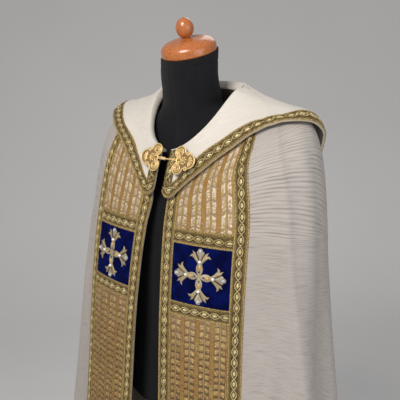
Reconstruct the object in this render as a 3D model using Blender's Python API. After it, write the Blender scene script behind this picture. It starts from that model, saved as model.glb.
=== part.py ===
"""A cope vestment, worn open over a dress form on a round-footed pole.

Metres, +Z up.  The origin is the centre of the foot's underside.  The cope
faces -Y, and the wearer's left is +X.

The cloth is a half round hung from its straight edge, so one surface serves
every sewn piece.  It is made of level sections, one for each row of SECTIONS,
and a place on it is given by its fall, the distance below the front of the
neckline, and its reach, the distance round the section from the middle of the
front.  The orphreys, galloons and collar are made from the same surface, moved
out along its normals.
"""

import math

import bmesh
import bpy
import numpy as np

# Form -----------------------------------------------------------------------
FOOT_RADIUS = 0.19
FOOT_HEIGHT = 0.022
FOOT_EDGE = 0.008
POLE_RADIUS = 0.014
NECK_TOP_Z = 1.567
NECK_TILT = math.radians(17.0)      # the neck is cut lower at its front
CAP_RADIUS = 0.0570
CAP_TOP_RADIUS = 0.040
CAP_HEIGHT = 0.031
KNOB_RADIUS = 0.0182
KNOB_HEIGHT = 0.041
KNOB_STEM_RADIUS = 0.007
FORM_SIDES = 28
TURNED_SIDES = 24

# Each row: height, half width, front and back of one section of the bust form.
FORM_COLUMNS = ("z", "half_width", "front_y", "back_y")
FORM_SECTIONS = (
    (0.820, 0.168, -0.104, 0.112),
    (0.900, 0.166, -0.100, 0.110),
    (1.000, 0.158, -0.094, 0.100),
    (1.150, 0.170, -0.098, 0.108),
    (1.300, 0.194, -0.084, 0.114),
    (1.360, 0.204, -0.060, 0.110),
    (1.388, 0.198, -0.052, 0.100),
    (1.408, 0.180, -0.046, 0.092),
    (1.424, 0.144, -0.043, 0.085),
    (1.438, 0.102, -0.042, 0.078),
    (1.456, 0.073, -0.048, 0.074),
    (1.488, 0.0605, -0.054, 0.068),
)
NECK_RADIUS = 0.0585

# Cloth ----------------------------------------------------------------------
GAP = 0.0003                        # between neighbouring pieces
NECK_FRONT_Z = 1.375
HEM_FALL = 1.335
CLOTH = 0.002                       # brocade with its lining
COLLAR_CLOTH = 0.0045               # two layers of brocade on canvas
COLLAR_LIFT = 0.0095                # collar's underside above the cloth, in front
HOOD_LIFT = 0.0150                  # and at centre back, where it hangs free
GALLOON_WIDTH = 0.028
GALLOON_HEIGHT = 0.0018
FIELD_HEIGHT = 0.0010
PANEL_HEIGHT = 0.0014
ORPHREY_WIDTH = 0.182
FRONT_BAND_WIDTH = 0.020
SEAM = 0.42                         # share of the way from orphrey to centre back
LEVELLING = 1.3                     # how fast a section rises from front to side

# Each row: fall, heights at side and back, half width, the front, widest and
# back places on Y, the middle on X, half the front opening, and the power of
# the rounded section.
SECTION_COLUMNS = (
    "fall", "side_z", "back_z", "half_width", "front_y", "side_y", "back_y",
    "middle_x", "gap", "power",
)
SECTIONS = (
    (0.000, 1.483, 1.494, 0.090, -0.078, 0.012, 0.084, 0.016, 0.030, 2.40),
    (0.020, 1.465, 1.475, 0.134, -0.086, 0.026, 0.106, 0.015, 0.030, 2.15),
    (0.042, 1.451, 1.455, 0.190, -0.093, 0.036, 0.128, 0.014, 0.029, 2.00),
    (0.062, 1.442, 1.436, 0.232, -0.099, 0.040, 0.146, 0.014, 0.026, 1.95),
    (0.078, 1.422, 1.412, 0.250, -0.104, 0.036, 0.158, 0.013, 0.022, 2.00),
    (0.095, 1.384, 1.374, 0.264, -0.108, 0.030, 0.170, 0.013, 0.020, 2.10),
    (0.115, 1.318, 1.314, 0.276, -0.113, 0.025, 0.182, 0.012, 0.021, 2.15),
    (0.137, 1.243, 1.242, 0.284, -0.118, 0.023, 0.190, 0.010, 0.023, 2.20),
    (0.166, 1.209, 1.209, 0.288, -0.122, 0.022, 0.196, 0.008, 0.025, 2.20),
    (0.281, 1.094, 1.094, 0.298, -0.134, 0.022, 0.208, 0.003, 0.031, 2.20),
    (0.510, 0.865, 0.865, 0.316, -0.152, 0.018, 0.226, 0.002, 0.039, 2.20),
    (0.780, 0.595, 0.595, 0.346, -0.172, 0.014, 0.250, 0.001, 0.045, 2.20),
    (1.050, 0.325, 0.325, 0.386, -0.190, 0.012, 0.276, 0.000, 0.049, 2.20),
    (1.335, 0.040, 0.040, 0.432, -0.210, 0.012, 0.302, 0.000, 0.052, 2.20),
)

# Each row: side (+1 the wearer's left, -1 right), place and half width as
# shares of the way from orphrey to centre back, depth out of the section at
# the hem, the fall at which the fold starts, and the power of its growth.
FOLD_COLUMNS = ("side", "place", "half_width", "depth", "start", "growth")
FOLDS = (
    (+1, 0.205, 0.085, +0.040, 0.06, 0.60),
    (+1, 0.310, 0.070, -0.044, 0.20, 0.90),
    (+1, 0.410, 0.075, +0.050, 0.20, 0.95),
    (+1, 0.530, 0.070, -0.050, 0.35, 1.00),
    (+1, 0.640, 0.080, +0.052, 0.30, 0.95),
    (+1, 0.765, 0.080, -0.046, 0.40, 1.05),
    (+1, 0.885, 0.080, +0.040, 0.32, 1.00),
    (-1, 0.160, 0.090, +0.036, 0.10, 0.65),
    (-1, 0.280, 0.080, -0.046, 0.30, 0.95),
    (-1, 0.395, 0.075, +0.048, 0.25, 0.90),
    (-1, 0.500, 0.065, -0.044, 0.38, 1.05),
    (-1, 0.615, 0.085, +0.054, 0.28, 0.95),
    (-1, 0.745, 0.080, -0.050, 0.36, 1.00),
    (-1, 0.870, 0.080, +0.042, 0.34, 1.05),
    (0, 1.000, 0.085, -0.030, 0.40, 1.00),
)

# Falls of the rows of the cloth's mesh.  The bars and the velvet panels of the
# orphreys start and end on rows.
BAR_TOP = 0.137
PANEL_TOP = 0.166
PANEL_BOTTOM = 0.281
BAR_BOTTOM = 0.309
FALLS = (
    0.0, 0.02, 0.042, 0.062, 0.075, 0.09, 0.108, BAR_TOP, PANEL_TOP, 0.205, 0.243,
    PANEL_BOTTOM, BAR_BOTTOM, 0.40, 0.50, 0.60, 0.72, 0.85, 0.99, 1.15, HEM_FALL,
)
ORPHREY_START = 0.02                # the orphreys' upper ends, under the collar
COLUMNS_FRONT = 12                  # from orphrey to shoulder seam
COLUMNS_BACK = 15                   # from shoulder seam to centre back

# Collar ---------------------------------------------------------------------
COLLAR_GAP = 0.0125                 # half the space between its front edges
COLLAR_TIP_FALL = 0.088
COLLAR_COLUMNS = 22
COLLAR_ROWS = 8
# Each row: share of the way round to centre back, fall of the outer edge there.
COLLAR_EDGE = (
    (0.00, COLLAR_TIP_FALL),
    (0.06, 0.070),
    (0.14, 0.058),
    (0.26, 0.050),
    (0.35, 0.047),
    (0.42, 0.052),
    (0.48, 0.064),
    (0.55, 0.079),
    (0.62, 0.091),
    (0.71, 0.115),
    (0.81, 0.165),
    (0.91, 0.225),
    (1.00, 0.248),
)

# Clasp ----------------------------------------------------------------------
PLATE_THICKNESS = 0.0025
# Each row: degrees from the plate's outer side, reach of the lobe's centre
# from the plate's, and radius of the lobe.
LOBES = (
    (105.0, 0.0160, 0.0132),
    (-105.0, 0.0160, 0.0132),
    (0.0, 0.0200, 0.0150),
)
PLATE_CORE_RADIUS = 0.0125
PLATE_TAB_REACH = 0.021
PLATE_TAB_HALF = 0.0045
PLATE_CENTRES = {+1: 0.0640, -1: -0.0050}
PLATE_Z = 1.367
CLASP_LEAN = math.radians(-22.0)    # the chest leans back under the plates
CLASP_Y = -0.1030                   # back faces of the plates, clear of the bands
LINK_RADIUS = 0.0016
STUD_RADIUS = 0.0035
STUD_PLACE = 0.0055                 # from the link's end on the wearer's right

COLOURS = {
    "jersey": ((0.012, 0.012, 0.014), 0.85, 0.0),
    "turned wood": ((0.58, 0.22, 0.07), 0.30, 0.0),
    "foot metal": ((0.05, 0.05, 0.055), 0.40, 0.8),
    "cream brocade": ((0.80, 0.77, 0.70), 0.80, 0.0),
    "gold galloon": ((0.62, 0.47, 0.16), 0.45, 0.5),
    "gold stripe": ((0.62, 0.42, 0.16), 0.50, 0.3),
    "blue velvet": ((0.01, 0.02, 0.16), 0.90, 0.0),
    "clasp gold": ((0.80, 0.60, 0.30), 0.40, 0.9),
}


def smooth_curve(at, places, values):
    """A smooth curve through the values: cubic pieces with shared slopes."""
    places = np.asarray(places, float)
    values = np.asarray(values, float)
    at = np.clip(np.asarray(at, float), places[0], places[-1])
    steps = np.diff(places)
    rises = np.diff(values) / steps
    slopes = np.empty_like(values)
    slopes[1:-1] = (rises[:-1] * steps[1:] + rises[1:] * steps[:-1]) / (steps[:-1] + steps[1:])
    slopes[0], slopes[-1] = rises[0], rises[-1]
    piece = np.clip(np.searchsorted(places, at, side="right") - 1, 0, len(steps) - 1)
    width = steps[piece]
    t = (at - places[piece]) / width
    return (
        (2 * t**3 - 3 * t**2 + 1) * values[piece]
        + (t**3 - 2 * t**2 + t) * width * slopes[piece]
        + (3 * t**2 - 2 * t**3) * values[piece + 1]
        + (t**3 - t**2) * width * slopes[piece + 1]
    )


def column(table, names, name):
    """One named column of a table."""
    return [row[names.index(name)] for row in table]


def section_value(name, fall):
    """A column of SECTIONS at any fall."""
    falls = column(SECTIONS, SECTION_COLUMNS, "fall")
    return smooth_curve(fall, falls, column(SECTIONS, SECTION_COLUMNS, name))


class Section:
    """One unfolded section of one side, from centre front to centre back."""

    def __init__(self, side, fall):
        angle = np.linspace(0.0, math.pi, 721)
        power = section_value("power", fall)
        half_width = section_value("half_width", fall)
        side_y = section_value("side_y", fall)
        sine, cosine = np.sin(angle), np.cos(angle)
        depth = np.where(
            cosine > 0,
            side_y - section_value("front_y", fall),
            section_value("back_y", fall) - side_y,
        )
        radius = (
            np.abs(sine / half_width) ** power + np.abs(cosine / depth) ** power
        ) ** (-1 / power)
        self.side = side
        self.fall = fall
        self.middle = section_value("middle_x", fall)
        self.x = radius * sine
        self.y = side_y - radius * cosine
        front_z, side_z = NECK_FRONT_Z - fall, section_value("side_z", fall)
        back_z = section_value("back_z", fall)
        rise = np.abs(cosine) ** LEVELLING
        self.z = side_z + np.where(cosine > 0, front_z - side_z, back_z - side_z) * rise
        steps = np.sqrt(np.diff(self.x) ** 2 + np.diff(self.y) ** 2 + np.diff(self.z) ** 2)
        self.arc = np.concatenate(([0.0], np.cumsum(steps)))
        flat = np.hypot(np.gradient(self.x), np.gradient(self.y))
        self.out_x = np.gradient(self.y) / flat
        self.out_y = -np.gradient(self.x) / flat
        self.edge = self.reach_of_x(section_value("gap", fall))
        self.total = self.arc[-1]

    def reach_of_x(self, x):
        """The reach at which the front of the section is x from the middle."""
        front = slice(0, int(np.argmax(self.x)))
        return np.interp(x, self.x[front], self.arc[front])

    def share(self, reach):
        """How far a reach is on the way from the orphrey to centre back."""
        start = self.edge + ORPHREY_WIDTH
        return (reach - start) / (self.total - start)

    def folds(self, share):
        """How far the folds stand out of the section."""
        depth = np.zeros_like(share)
        for side, place, half_width, height, start, growth in FOLDS:
            if side in (0, self.side) and self.fall > start:
                grown = ((self.fall - start) / (HEM_FALL - start)) ** growth
                t = np.clip((share - place) / half_width, -1.0, 1.0)
                depth += height * grown * np.cos(t * math.pi / 2) ** 2
        return depth

    def points(self, reach):
        """Points at an array of reaches."""
        out = self.folds(self.share(reach))
        x = np.interp(reach, self.arc, self.x) + out * np.interp(reach, self.arc, self.out_x)
        y = np.interp(reach, self.arc, self.y) + out * np.interp(reach, self.arc, self.out_y)
        z = np.interp(reach, self.arc, self.z)
        x = np.where(reach >= self.total, 0.0, x)
        return np.stack([self.middle + self.side * x, y, z], axis=-1)


def surface(side, fall, reach, lift):
    """Points at places on the cloth, moved out along its normals by lift.

    fall and reach are arrays of one shape, with one fall to each row.
    """
    step = 0.002
    points = np.empty(reach.shape + (3,))
    for i in range(len(reach)):
        at = fall[i]
        above = min(max(at, step), HEM_FALL - step)
        here = Section(side, at)
        share_or_metres = reach[i] - here.edge
        upper, lower = Section(side, above - step), Section(side, above + step)
        down = lower.points(same_place(here, lower, share_or_metres)) - upper.points(
            same_place(here, upper, share_or_metres)
        )
        near = np.clip(reach[i], step, here.total - step)
        along = here.points(near + step) - here.points(near - step)
        normal = side * np.cross(down, along)
        normal[reach[i] >= here.total - 1e-9, 0] = 0.0
        normal /= np.linalg.norm(normal, axis=-1, keepdims=True)
        points[i] = here.points(reach[i]) + normal * np.broadcast_to(lift, reach.shape)[i][:, None]
    return points


def same_place(here, other, beyond_edge):
    """Reaches on another section of places given from the edge on this one."""
    share = here.share(here.edge + beyond_edge)
    start = other.edge + ORPHREY_WIDTH
    shared = start + share * (other.total - start)
    reach = np.where(beyond_edge <= ORPHREY_WIDTH, other.edge + beyond_edge, shared)
    return np.clip(reach, 0.0, other.total)


def orphrey_grid(side, falls, distances):
    """Falls and reaches of places at fixed distances from the front edge."""
    fall = np.asarray(falls, float)
    reach = np.array([Section(side, f).edge + np.asarray(distances, float) for f in fall])
    return fall, reach


def share_grid(side, falls, shares):
    """Falls and reaches of places at shares of the way to centre back."""
    fall = np.asarray(falls, float)
    rows = []
    for f in fall:
        here = Section(side, f)
        start = here.edge + ORPHREY_WIDTH
        rows.append(start + np.asarray(shares, float) * (here.total - start))
    return fall, np.array(rows)


def material(name):
    """A plain Principled material, made once."""
    if name in bpy.data.materials:
        return bpy.data.materials[name]
    colour, roughness, metallic = COLOURS[name]
    made = bpy.data.materials.new(name)
    made.use_nodes = True
    shader = made.node_tree.nodes["Principled BSDF"]
    shader.inputs["Base Color"].default_value = (*colour, 1.0)
    shader.inputs["Roughness"].default_value = roughness
    shader.inputs["Metallic"].default_value = metallic
    return made


def add_object(name, mesh, finish, smooth_angle=None):
    """Link a mesh as a named object with a finish."""
    mesh.name = name
    mesh.materials.clear()
    mesh.materials.append(material(finish))
    made = bpy.data.objects.new(name, mesh)
    bpy.context.scene.collection.objects.link(made)
    if smooth_angle is not None:
        mesh.shade_smooth()
        mesh.set_sharp_from_angle(angle=math.radians(smooth_angle))
    return made


def wall(name, inner, outer, finish, side=1):
    """A closed wall between two grids of points, with a rim all round.

    Rows run down and columns run towards the back.  On the wearer's right the
    columns run the other way round, so the faces are turned.
    """
    rows, columns = inner.shape[:2]
    if side < 0:
        inner, outer = inner[:, ::-1], outer[:, ::-1]
    index = np.arange(rows * columns).reshape(rows, columns)
    upper_left, lower_left = index[:-1, :-1].ravel(), index[1:, :-1].ravel()
    upper_right, lower_right = index[:-1, 1:].ravel(), index[1:, 1:].ravel()
    face = np.concatenate([
        np.stack([upper_left, lower_left, lower_right], axis=-1),
        np.stack([upper_left, lower_right, upper_right], axis=-1),
    ])
    count = rows * columns
    around = np.concatenate([index[:-1, 0], index[-1, :-1], index[:0:-1, -1], index[0, :0:-1]])
    onward = np.roll(around, -1)
    rim = np.concatenate([
        np.stack([around, onward + count, onward], axis=-1),
        np.stack([around, around + count, onward + count], axis=-1),
    ])
    vertices = np.concatenate([inner.reshape(-1, 3), outer.reshape(-1, 3)])
    faces = np.concatenate([face[:, ::-1], face + count, rim[:, ::-1]])
    mesh = bpy.data.meshes.new(name)
    mesh.from_pydata(vertices.tolist(), [], faces.tolist())
    return add_object(name, mesh, finish, smooth_angle=50)


def cloth_piece(name, side, grid, bottom, top, finish):
    """A wall on the cloth's surface between two heights above it."""
    inner = surface(side, *grid, bottom)
    outer = surface(side, *grid, top)
    return wall(name, inner, outer, finish, side)


def rows_between(first, last):
    """The mesh rows from one fall to another, both included."""
    inside = [f for f in FALLS if first + 1e-6 < f < last - 1e-6]
    return [first, *inside, last]


ORPHREY_PLACES = (
    0.0,
    GALLOON_WIDTH,
    GALLOON_WIDTH + (ORPHREY_WIDTH - 2 * GALLOON_WIDTH) / 3,
    GALLOON_WIDTH + (ORPHREY_WIDTH - 2 * GALLOON_WIDTH) * 2 / 3,
    ORPHREY_WIDTH - GALLOON_WIDTH,
    ORPHREY_WIDTH,
)


def make_body():
    """The two front panels and the back, seamed over the shoulders."""
    front_shares = np.linspace(0.0, SEAM, COLUMNS_FRONT + 1)
    back_shares = np.linspace(SEAM, 1.0, COLUMNS_BACK + 1)
    halves = {}
    for side, name in ((+1, "cope_front_left"), (-1, "cope_front_right")):
        fall, near = orphrey_grid(side, FALLS, ORPHREY_PLACES[:-1])
        _, far = share_grid(side, FALLS, front_shares)
        far[:, -1] -= GAP / 2
        cloth_piece(name, side, (fall, np.hstack([near, far])), 0.0, CLOTH, "cream brocade")
        fall, back = share_grid(side, FALLS, back_shares)
        back[:, 0] += GAP / 2
        halves[side] = [surface(side, fall, back, lift) for lift in (0.0, CLOTH)]
    inner, outer = (
        np.concatenate([halves[+1][k], halves[-1][k][:, -2::-1]], axis=1) for k in (0, 1)
    )
    wall("cope_back", inner, outer, "cream brocade")


def make_orphrey(side, name):
    """Galloons, striped fields, bars and velvet panel of one front."""
    low = CLOTH + GAP
    edge, inner_end, *_, outer_start, outer_end = ORPHREY_PLACES
    inner_end -= GAP / 2
    outer_start += GAP / 2
    middle = [inner_end + GAP, *ORPHREY_PLACES[2:4], outer_start - GAP]
    all_rows = rows_between(ORPHREY_START, HEM_FALL)
    galloon_top = low + GALLOON_HEIGHT
    for label, ends in (("inner", (edge, inner_end)), ("outer", (outer_start, outer_end))):
        grid = orphrey_grid(side, all_rows, ends)
        cloth_piece(f"{name}_{label}_galloon", side, grid, low, galloon_top, "gold galloon")
    stack = (
        ("upper_field", ORPHREY_START, BAR_TOP, FIELD_HEIGHT, "gold stripe"),
        ("upper_bar", BAR_TOP, PANEL_TOP, GALLOON_HEIGHT, "gold galloon"),
        ("velvet_panel", PANEL_TOP, PANEL_BOTTOM, PANEL_HEIGHT, "blue velvet"),
        ("lower_bar", PANEL_BOTTOM, BAR_BOTTOM, GALLOON_HEIGHT, "gold galloon"),
        ("lower_field", BAR_BOTTOM, HEM_FALL, FIELD_HEIGHT, "gold stripe"),
    )
    for label, first, last, height, finish in stack:
        first += GAP / 2 if first > ORPHREY_START else 0.0
        last -= GAP / 2 if last < HEM_FALL else 0.0
        grid = orphrey_grid(side, rows_between(first, last), middle)
        cloth_piece(f"{name}_{label}", side, grid, low, low + height, finish)


class Collar:
    """One half of the collar: a grid of places on the cloth, and its heights.

    Columns run from the front edge to centre back.  Rows are given by their
    distance from the outer edge, or by their share of the rest of the way up
    to the neckline.
    """

    def __init__(self, side, columns):
        self.side = side
        shares = np.linspace(0.0, 1.0, columns)[1:]
        self.around = np.concatenate([[0.0, FRONT_BAND_WIDTH], shares])
        self.is_metres = np.array([True, True] + [False] * len(shares))

    def reaches(self, falls):
        """The reach of every column at its own fall, for rows of falls."""
        reach = np.empty(falls.shape)
        for j in range(falls.shape[1]):
            for i in range(falls.shape[0]):
                here = Section(self.side, falls[i, j])
                start = here.reach_of_x(COLLAR_GAP)
                if self.is_metres[j]:
                    reach[i, j] = start + self.around[j]
                else:
                    start += FRONT_BAND_WIDTH
                    reach[i, j] = start + self.around[j] * (here.total - start)
        return reach

    def edge_falls(self):
        """The fall of the outer edge at every column."""
        shares = np.where(self.is_metres, 0.0, self.around)
        return smooth_curve(shares, *zip(*COLLAR_EDGE))

    def lifts(self):
        """The height of the underside above the cloth at every column."""
        shares = np.where(self.is_metres, 0.0, self.around)
        return COLLAR_LIFT + (HOOD_LIFT - COLLAR_LIFT) * np.clip(2 * shares - 0.5, 0.0, 1.0)


def make_collar():
    """The wide shoulder collar with its edge galloon and front bands."""
    halves = {}
    for side in (+1, -1):
        halves[side] = collar_half(side)
    low, high = 0.0, COLLAR_CLOTH
    band_low, band_high = high + GAP, high + GAP + GALLOON_HEIGHT

    def joined(lift, rows):
        left, right = (collar_points(side, *halves[side], lift, rows) for side in (+1, -1))
        return np.concatenate([left, right[:, -2::-1]], axis=1)

    every = slice(None)
    wall("collar", joined(low, every), joined(high, every), "cream brocade")
    band = slice(-2, None)
    wall("collar_edge_galloon", joined(band_low, band), joined(band_high, band), "gold galloon")
    for side, name in ((+1, "left"), (-1, "right")):
        fall, reach = (grid[:-1, :2].copy() for grid in halves[side])
        fall[-1] -= GAP
        inner, outer = (
            collar_points(side, fall, reach, lift, every) for lift in (band_low, band_high)
        )
        wall(f"collar_front_galloon_{name}", inner, outer, "gold galloon", side)


def collar_half(side):
    """Falls and reaches of one half of the collar, a row to each distance."""
    collar = Collar(side, COLLAR_COLUMNS)
    edge = collar.edge_falls()
    steps = np.linspace(0.0, 1.0, 41)[:, None]
    falls = steps * edge[None, :]
    reaches = collar.reaches(falls)
    grid = np.empty((COLLAR_ROWS + 2, falls.shape[1]))
    dense = np.empty(falls.shape + (3,))
    for i in range(falls.shape[0]):
        for j in range(falls.shape[1]):
            dense[i, j] = Section(side, falls[i, j]).points(reaches[i, j : j + 1])[0]
    lengths = np.linalg.norm(np.diff(dense, axis=0), axis=-1)
    up = np.concatenate([np.zeros((1, falls.shape[1])), np.cumsum(lengths, axis=0)])
    for j in range(falls.shape[1]):
        band_top = up[-1, j] - GALLOON_WIDTH
        wanted = [*np.linspace(0.0, band_top, COLLAR_ROWS + 1), up[-1, j]]
        grid[:, j] = np.interp(wanted, up[:, j], falls[:, j])
    return grid, collar.reaches(grid)


def collar_points(side, falls, reaches, lift, rows):
    """Points of the collar's grid, moved out from the cloth by lift."""
    falls, reaches = falls[rows], reaches[rows]
    lifts = lift + Collar(side, COLLAR_COLUMNS).lifts()
    made = np.empty(falls.shape + (3,))
    for j in range(falls.shape[1]):
        made[:, j] = surface(side, falls[:, j], reaches[:, j : j + 1], lifts[j])[:, 0]
    return made


def make_clasp():
    """Two trefoil plates on the collar's front ends, joined by a barred link."""
    angle = np.radians(np.arange(0.0, 360.0, 7.5))
    reach = np.full(angle.shape, PLATE_CORE_RADIUS)
    for degrees, lobe_reach, lobe_radius in LOBES:
        away = angle - math.radians(degrees)
        along, across = lobe_reach * np.cos(away), lobe_reach * np.sin(away)
        inside = lobe_radius**2 - across**2
        hit = along + np.sqrt(np.maximum(inside, 0.0))
        reach = np.where((inside > 0) & (along > 0), np.maximum(reach, hit), reach)
    tab = (np.abs(reach * np.sin(angle)) < PLATE_TAB_HALF) & (np.cos(angle) < 0)
    reach = np.where(tab, PLATE_TAB_REACH, reach)
    for side, name in ((+1, "left"), (-1, "right")):
        outline = np.stack([side * reach * np.cos(angle), reach * np.sin(angle)], axis=-1)
        mesh = extruded(outline if side > 0 else outline[::-1], PLATE_THICKNESS)
        plate = add_object(f"clasp_plate_{name}", mesh, "clasp gold")
        plate.location = (PLATE_CENTRES[side], CLASP_Y, PLATE_Z)
        plate.rotation_euler = (math.radians(90.0) + CLASP_LEAN, 0.0, 0.0)
    first = PLATE_CENTRES[-1] + PLATE_TAB_REACH + GAP
    last = PLATE_CENTRES[+1] - PLATE_TAB_REACH - GAP
    bar = [(0.0, 0.0), (LINK_RADIUS, 0.0)]
    turn = math.degrees(math.asin(LINK_RADIUS / STUD_RADIUS))
    bar += arc_profile((0.0, STUD_PLACE), STUD_RADIUS, turn - 90.0, 90.0 - turn, 9)
    bar += [(LINK_RADIUS, last - first), (0.0, last - first)]
    link = add_object("clasp_link", turned(bar, TURNED_SIDES // 2), "clasp gold", 40)
    link.location = (first, CLASP_Y - PLATE_THICKNESS / 2, PLATE_Z)
    link.rotation_euler = (0.0, math.radians(90.0), 0.0)


def extruded(outline, thickness):
    """A flat outline given a thickness along +Z."""
    mesh = bpy.data.meshes.new("outline")
    work = bmesh.new()
    ring = [work.verts.new((x, y, 0.0)) for x, y in outline]
    face = work.faces.new(ring)
    raised = bmesh.ops.extrude_face_region(work, geom=[face])["geom"]
    corners = [part for part in raised if isinstance(part, bmesh.types.BMVert)]
    bmesh.ops.translate(work, verts=corners, vec=(0.0, 0.0, thickness))
    bmesh.ops.recalc_face_normals(work, faces=work.faces[:])
    work.to_mesh(mesh)
    work.free()
    return mesh


def turned(profile, sides):
    """A closed solid turned about Z from a profile that starts and ends on it."""
    mesh = bpy.data.meshes.new("turned")
    work = bmesh.new()
    angle = np.linspace(0.0, 2 * math.pi, sides, endpoint=False)
    rings = []
    for radius, z in profile:
        if radius == 0.0:
            rings.append([work.verts.new((0.0, 0.0, z))])
        else:
            rings.append(
                [work.verts.new((radius * math.cos(a), radius * math.sin(a), z)) for a in angle]
            )
    for lower, upper in zip(rings, rings[1:]):
        for k in range(sides):
            following = (k + 1) % sides
            corners = [lower[k % len(lower)], lower[following % len(lower)]]
            corners += [upper[following % len(upper)], upper[k % len(upper)]]
            work.faces.new(list(dict.fromkeys(corners)))
    bmesh.ops.recalc_face_normals(work, faces=work.faces[:])
    work.to_mesh(mesh)
    work.free()
    return mesh


def arc_profile(centre, radius, first, last, steps):
    """Points on an arc of a profile, by angle in degrees from the axis plane."""
    angles = np.radians(np.linspace(first, last, steps))
    return [(centre[0] + radius * math.cos(a), centre[1] + radius * math.sin(a)) for a in angles]


def make_form():
    """The bust form with its neck, cap, knob, pole and foot."""
    rings = [np.array(ring_of_form(row)) for row in FORM_SECTIONS]
    neck_angle = np.linspace(0.0, 2 * math.pi, FORM_SIDES, endpoint=False)
    for z in (1.522, NECK_TOP_Z):
        x = NECK_RADIUS * np.sin(neck_angle)
        y = -NECK_RADIUS * np.cos(neck_angle)
        tilt = math.tan(NECK_TILT) if z == NECK_TOP_Z else 0.0
        rings.append(np.stack([x, y, z + y * tilt], axis=-1))
    mesh = bpy.data.meshes.new("form")
    work = bmesh.new()
    made = [[work.verts.new(point) for point in ring] for ring in rings]
    for lower, upper in zip(made, made[1:]):
        for k in range(FORM_SIDES):
            following = (k + 1) % FORM_SIDES
            work.faces.new([lower[k], lower[following], upper[following], upper[k]])
    work.faces.new(made[0][::-1])
    work.faces.new(made[-1])
    bmesh.ops.recalc_face_normals(work, faces=work.faces[:])
    work.to_mesh(mesh)
    work.free()
    add_object("form_torso", mesh, "jersey", smooth_angle=50)

    bevel = CAP_RADIUS - CAP_TOP_RADIUS
    cap_profile = [(0.0, GAP), (CAP_RADIUS - 0.004, GAP), (CAP_RADIUS, GAP + 0.005)]
    cap_profile += arc_profile((CAP_TOP_RADIUS, CAP_HEIGHT - bevel), bevel, 0.0, 90.0, 6)
    cap_profile += [(0.0, CAP_HEIGHT)]
    cap = add_object("neck_cap", turned(cap_profile, TURNED_SIDES), "turned wood", 40)
    cap.location = (0.0, 0.0, NECK_TOP_Z)
    cap.rotation_euler = (NECK_TILT, 0.0, 0.0)

    knob_base = KNOB_HEIGHT - 2 * KNOB_RADIUS
    knob_profile = [(0.0, GAP), (KNOB_STEM_RADIUS, GAP)]
    start = -math.degrees(math.acos(KNOB_STEM_RADIUS / KNOB_RADIUS))
    knob_profile += arc_profile((0.0, knob_base + KNOB_RADIUS), KNOB_RADIUS, start, 80.0, 11)
    knob_profile += [(0.0, KNOB_HEIGHT)]
    knob = add_object("neck_knob", turned(knob_profile, TURNED_SIDES), "turned wood", 40)
    knob.location = (0.0, -CAP_HEIGHT * math.sin(NECK_TILT), NECK_TOP_Z + CAP_HEIGHT * math.cos(NECK_TILT))
    knob.rotation_euler = (NECK_TILT, 0.0, 0.0)

    form_bottom = FORM_SECTIONS[0][0]
    pole_profile = [(0.0, FOOT_HEIGHT + GAP), (POLE_RADIUS, FOOT_HEIGHT + GAP)]
    pole_profile += [(POLE_RADIUS, form_bottom - GAP), (0.0, form_bottom - GAP)]
    add_object("stand_pole", turned(pole_profile, TURNED_SIDES), "foot metal", 40)
    foot_profile = [(0.0, 0.0), (FOOT_RADIUS, 0.0)]
    foot_profile += arc_profile(
        (FOOT_RADIUS - FOOT_EDGE, FOOT_HEIGHT - FOOT_EDGE), FOOT_EDGE, 0.0, 90.0, 5
    )
    foot_profile += [(0.0, FOOT_HEIGHT)]
    add_object("stand_foot", turned(foot_profile, 2 * TURNED_SIDES), "foot metal", 40)


def ring_of_form(row):
    """The points of one section of the bust form, from the front round."""
    z, half_width, front, back = row
    angle = np.linspace(0.0, 2 * math.pi, FORM_SIDES, endpoint=False)
    x = half_width * np.sin(angle)
    y = (front + back) / 2 - (back - front) / 2 * np.cos(angle)
    return np.stack([x, y, np.full_like(x, z)], axis=-1)


def main():
    for existing in list(bpy.data.objects):
        bpy.data.objects.remove(existing, do_unlink=True)
    make_form()
    make_body()
    make_orphrey(+1, "orphrey_left")
    make_orphrey(-1, "orphrey_right")
    make_collar()
    make_clasp()


main()
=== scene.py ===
"""Looks of a cope vestment, worn open over a dress form on a round-footed pole.

Metres, +Z up.  The cope faces -Y, and the wearer's left is +X.

The cloth is a half round hung from its straight edge.  A place on it is given
by its side, its fall below the front of the neckline, and its reach round the
level section from the middle of the front.  Body, orphreys, galloons, collar
and embroidery are all laid on that one surface, each at its own height.
"""

import math

import bmesh
import bpy
import numpy as np
from mathutils import Matrix, Vector


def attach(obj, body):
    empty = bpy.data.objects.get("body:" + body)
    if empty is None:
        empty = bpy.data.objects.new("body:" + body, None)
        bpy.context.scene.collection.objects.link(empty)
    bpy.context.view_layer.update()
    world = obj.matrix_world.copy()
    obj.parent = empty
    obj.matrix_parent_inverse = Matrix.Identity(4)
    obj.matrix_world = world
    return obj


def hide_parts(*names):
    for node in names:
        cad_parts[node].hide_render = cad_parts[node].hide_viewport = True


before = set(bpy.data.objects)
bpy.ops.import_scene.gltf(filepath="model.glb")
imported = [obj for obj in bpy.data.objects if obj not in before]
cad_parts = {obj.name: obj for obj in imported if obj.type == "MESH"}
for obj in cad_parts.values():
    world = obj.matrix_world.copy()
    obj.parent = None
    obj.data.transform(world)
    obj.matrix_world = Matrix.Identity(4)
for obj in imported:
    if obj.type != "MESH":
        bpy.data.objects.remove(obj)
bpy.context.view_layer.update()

# Form -----------------------------------------------------------------------
FOOT_RADIUS = 0.19
FOOT_HEIGHT = 0.022
POLE_RADIUS = 0.014
NECK_TOP_Z = 1.567
NECK_TILT = math.radians(17.0)
NECK_RADIUS = 0.0585
CAP_RADIUS = 0.0570
CAP_HEIGHT = 0.031
KNOB_RADIUS = 0.0182
KNOB_HEIGHT = 0.041
KNOB_STEM_RADIUS = 0.007

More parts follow.
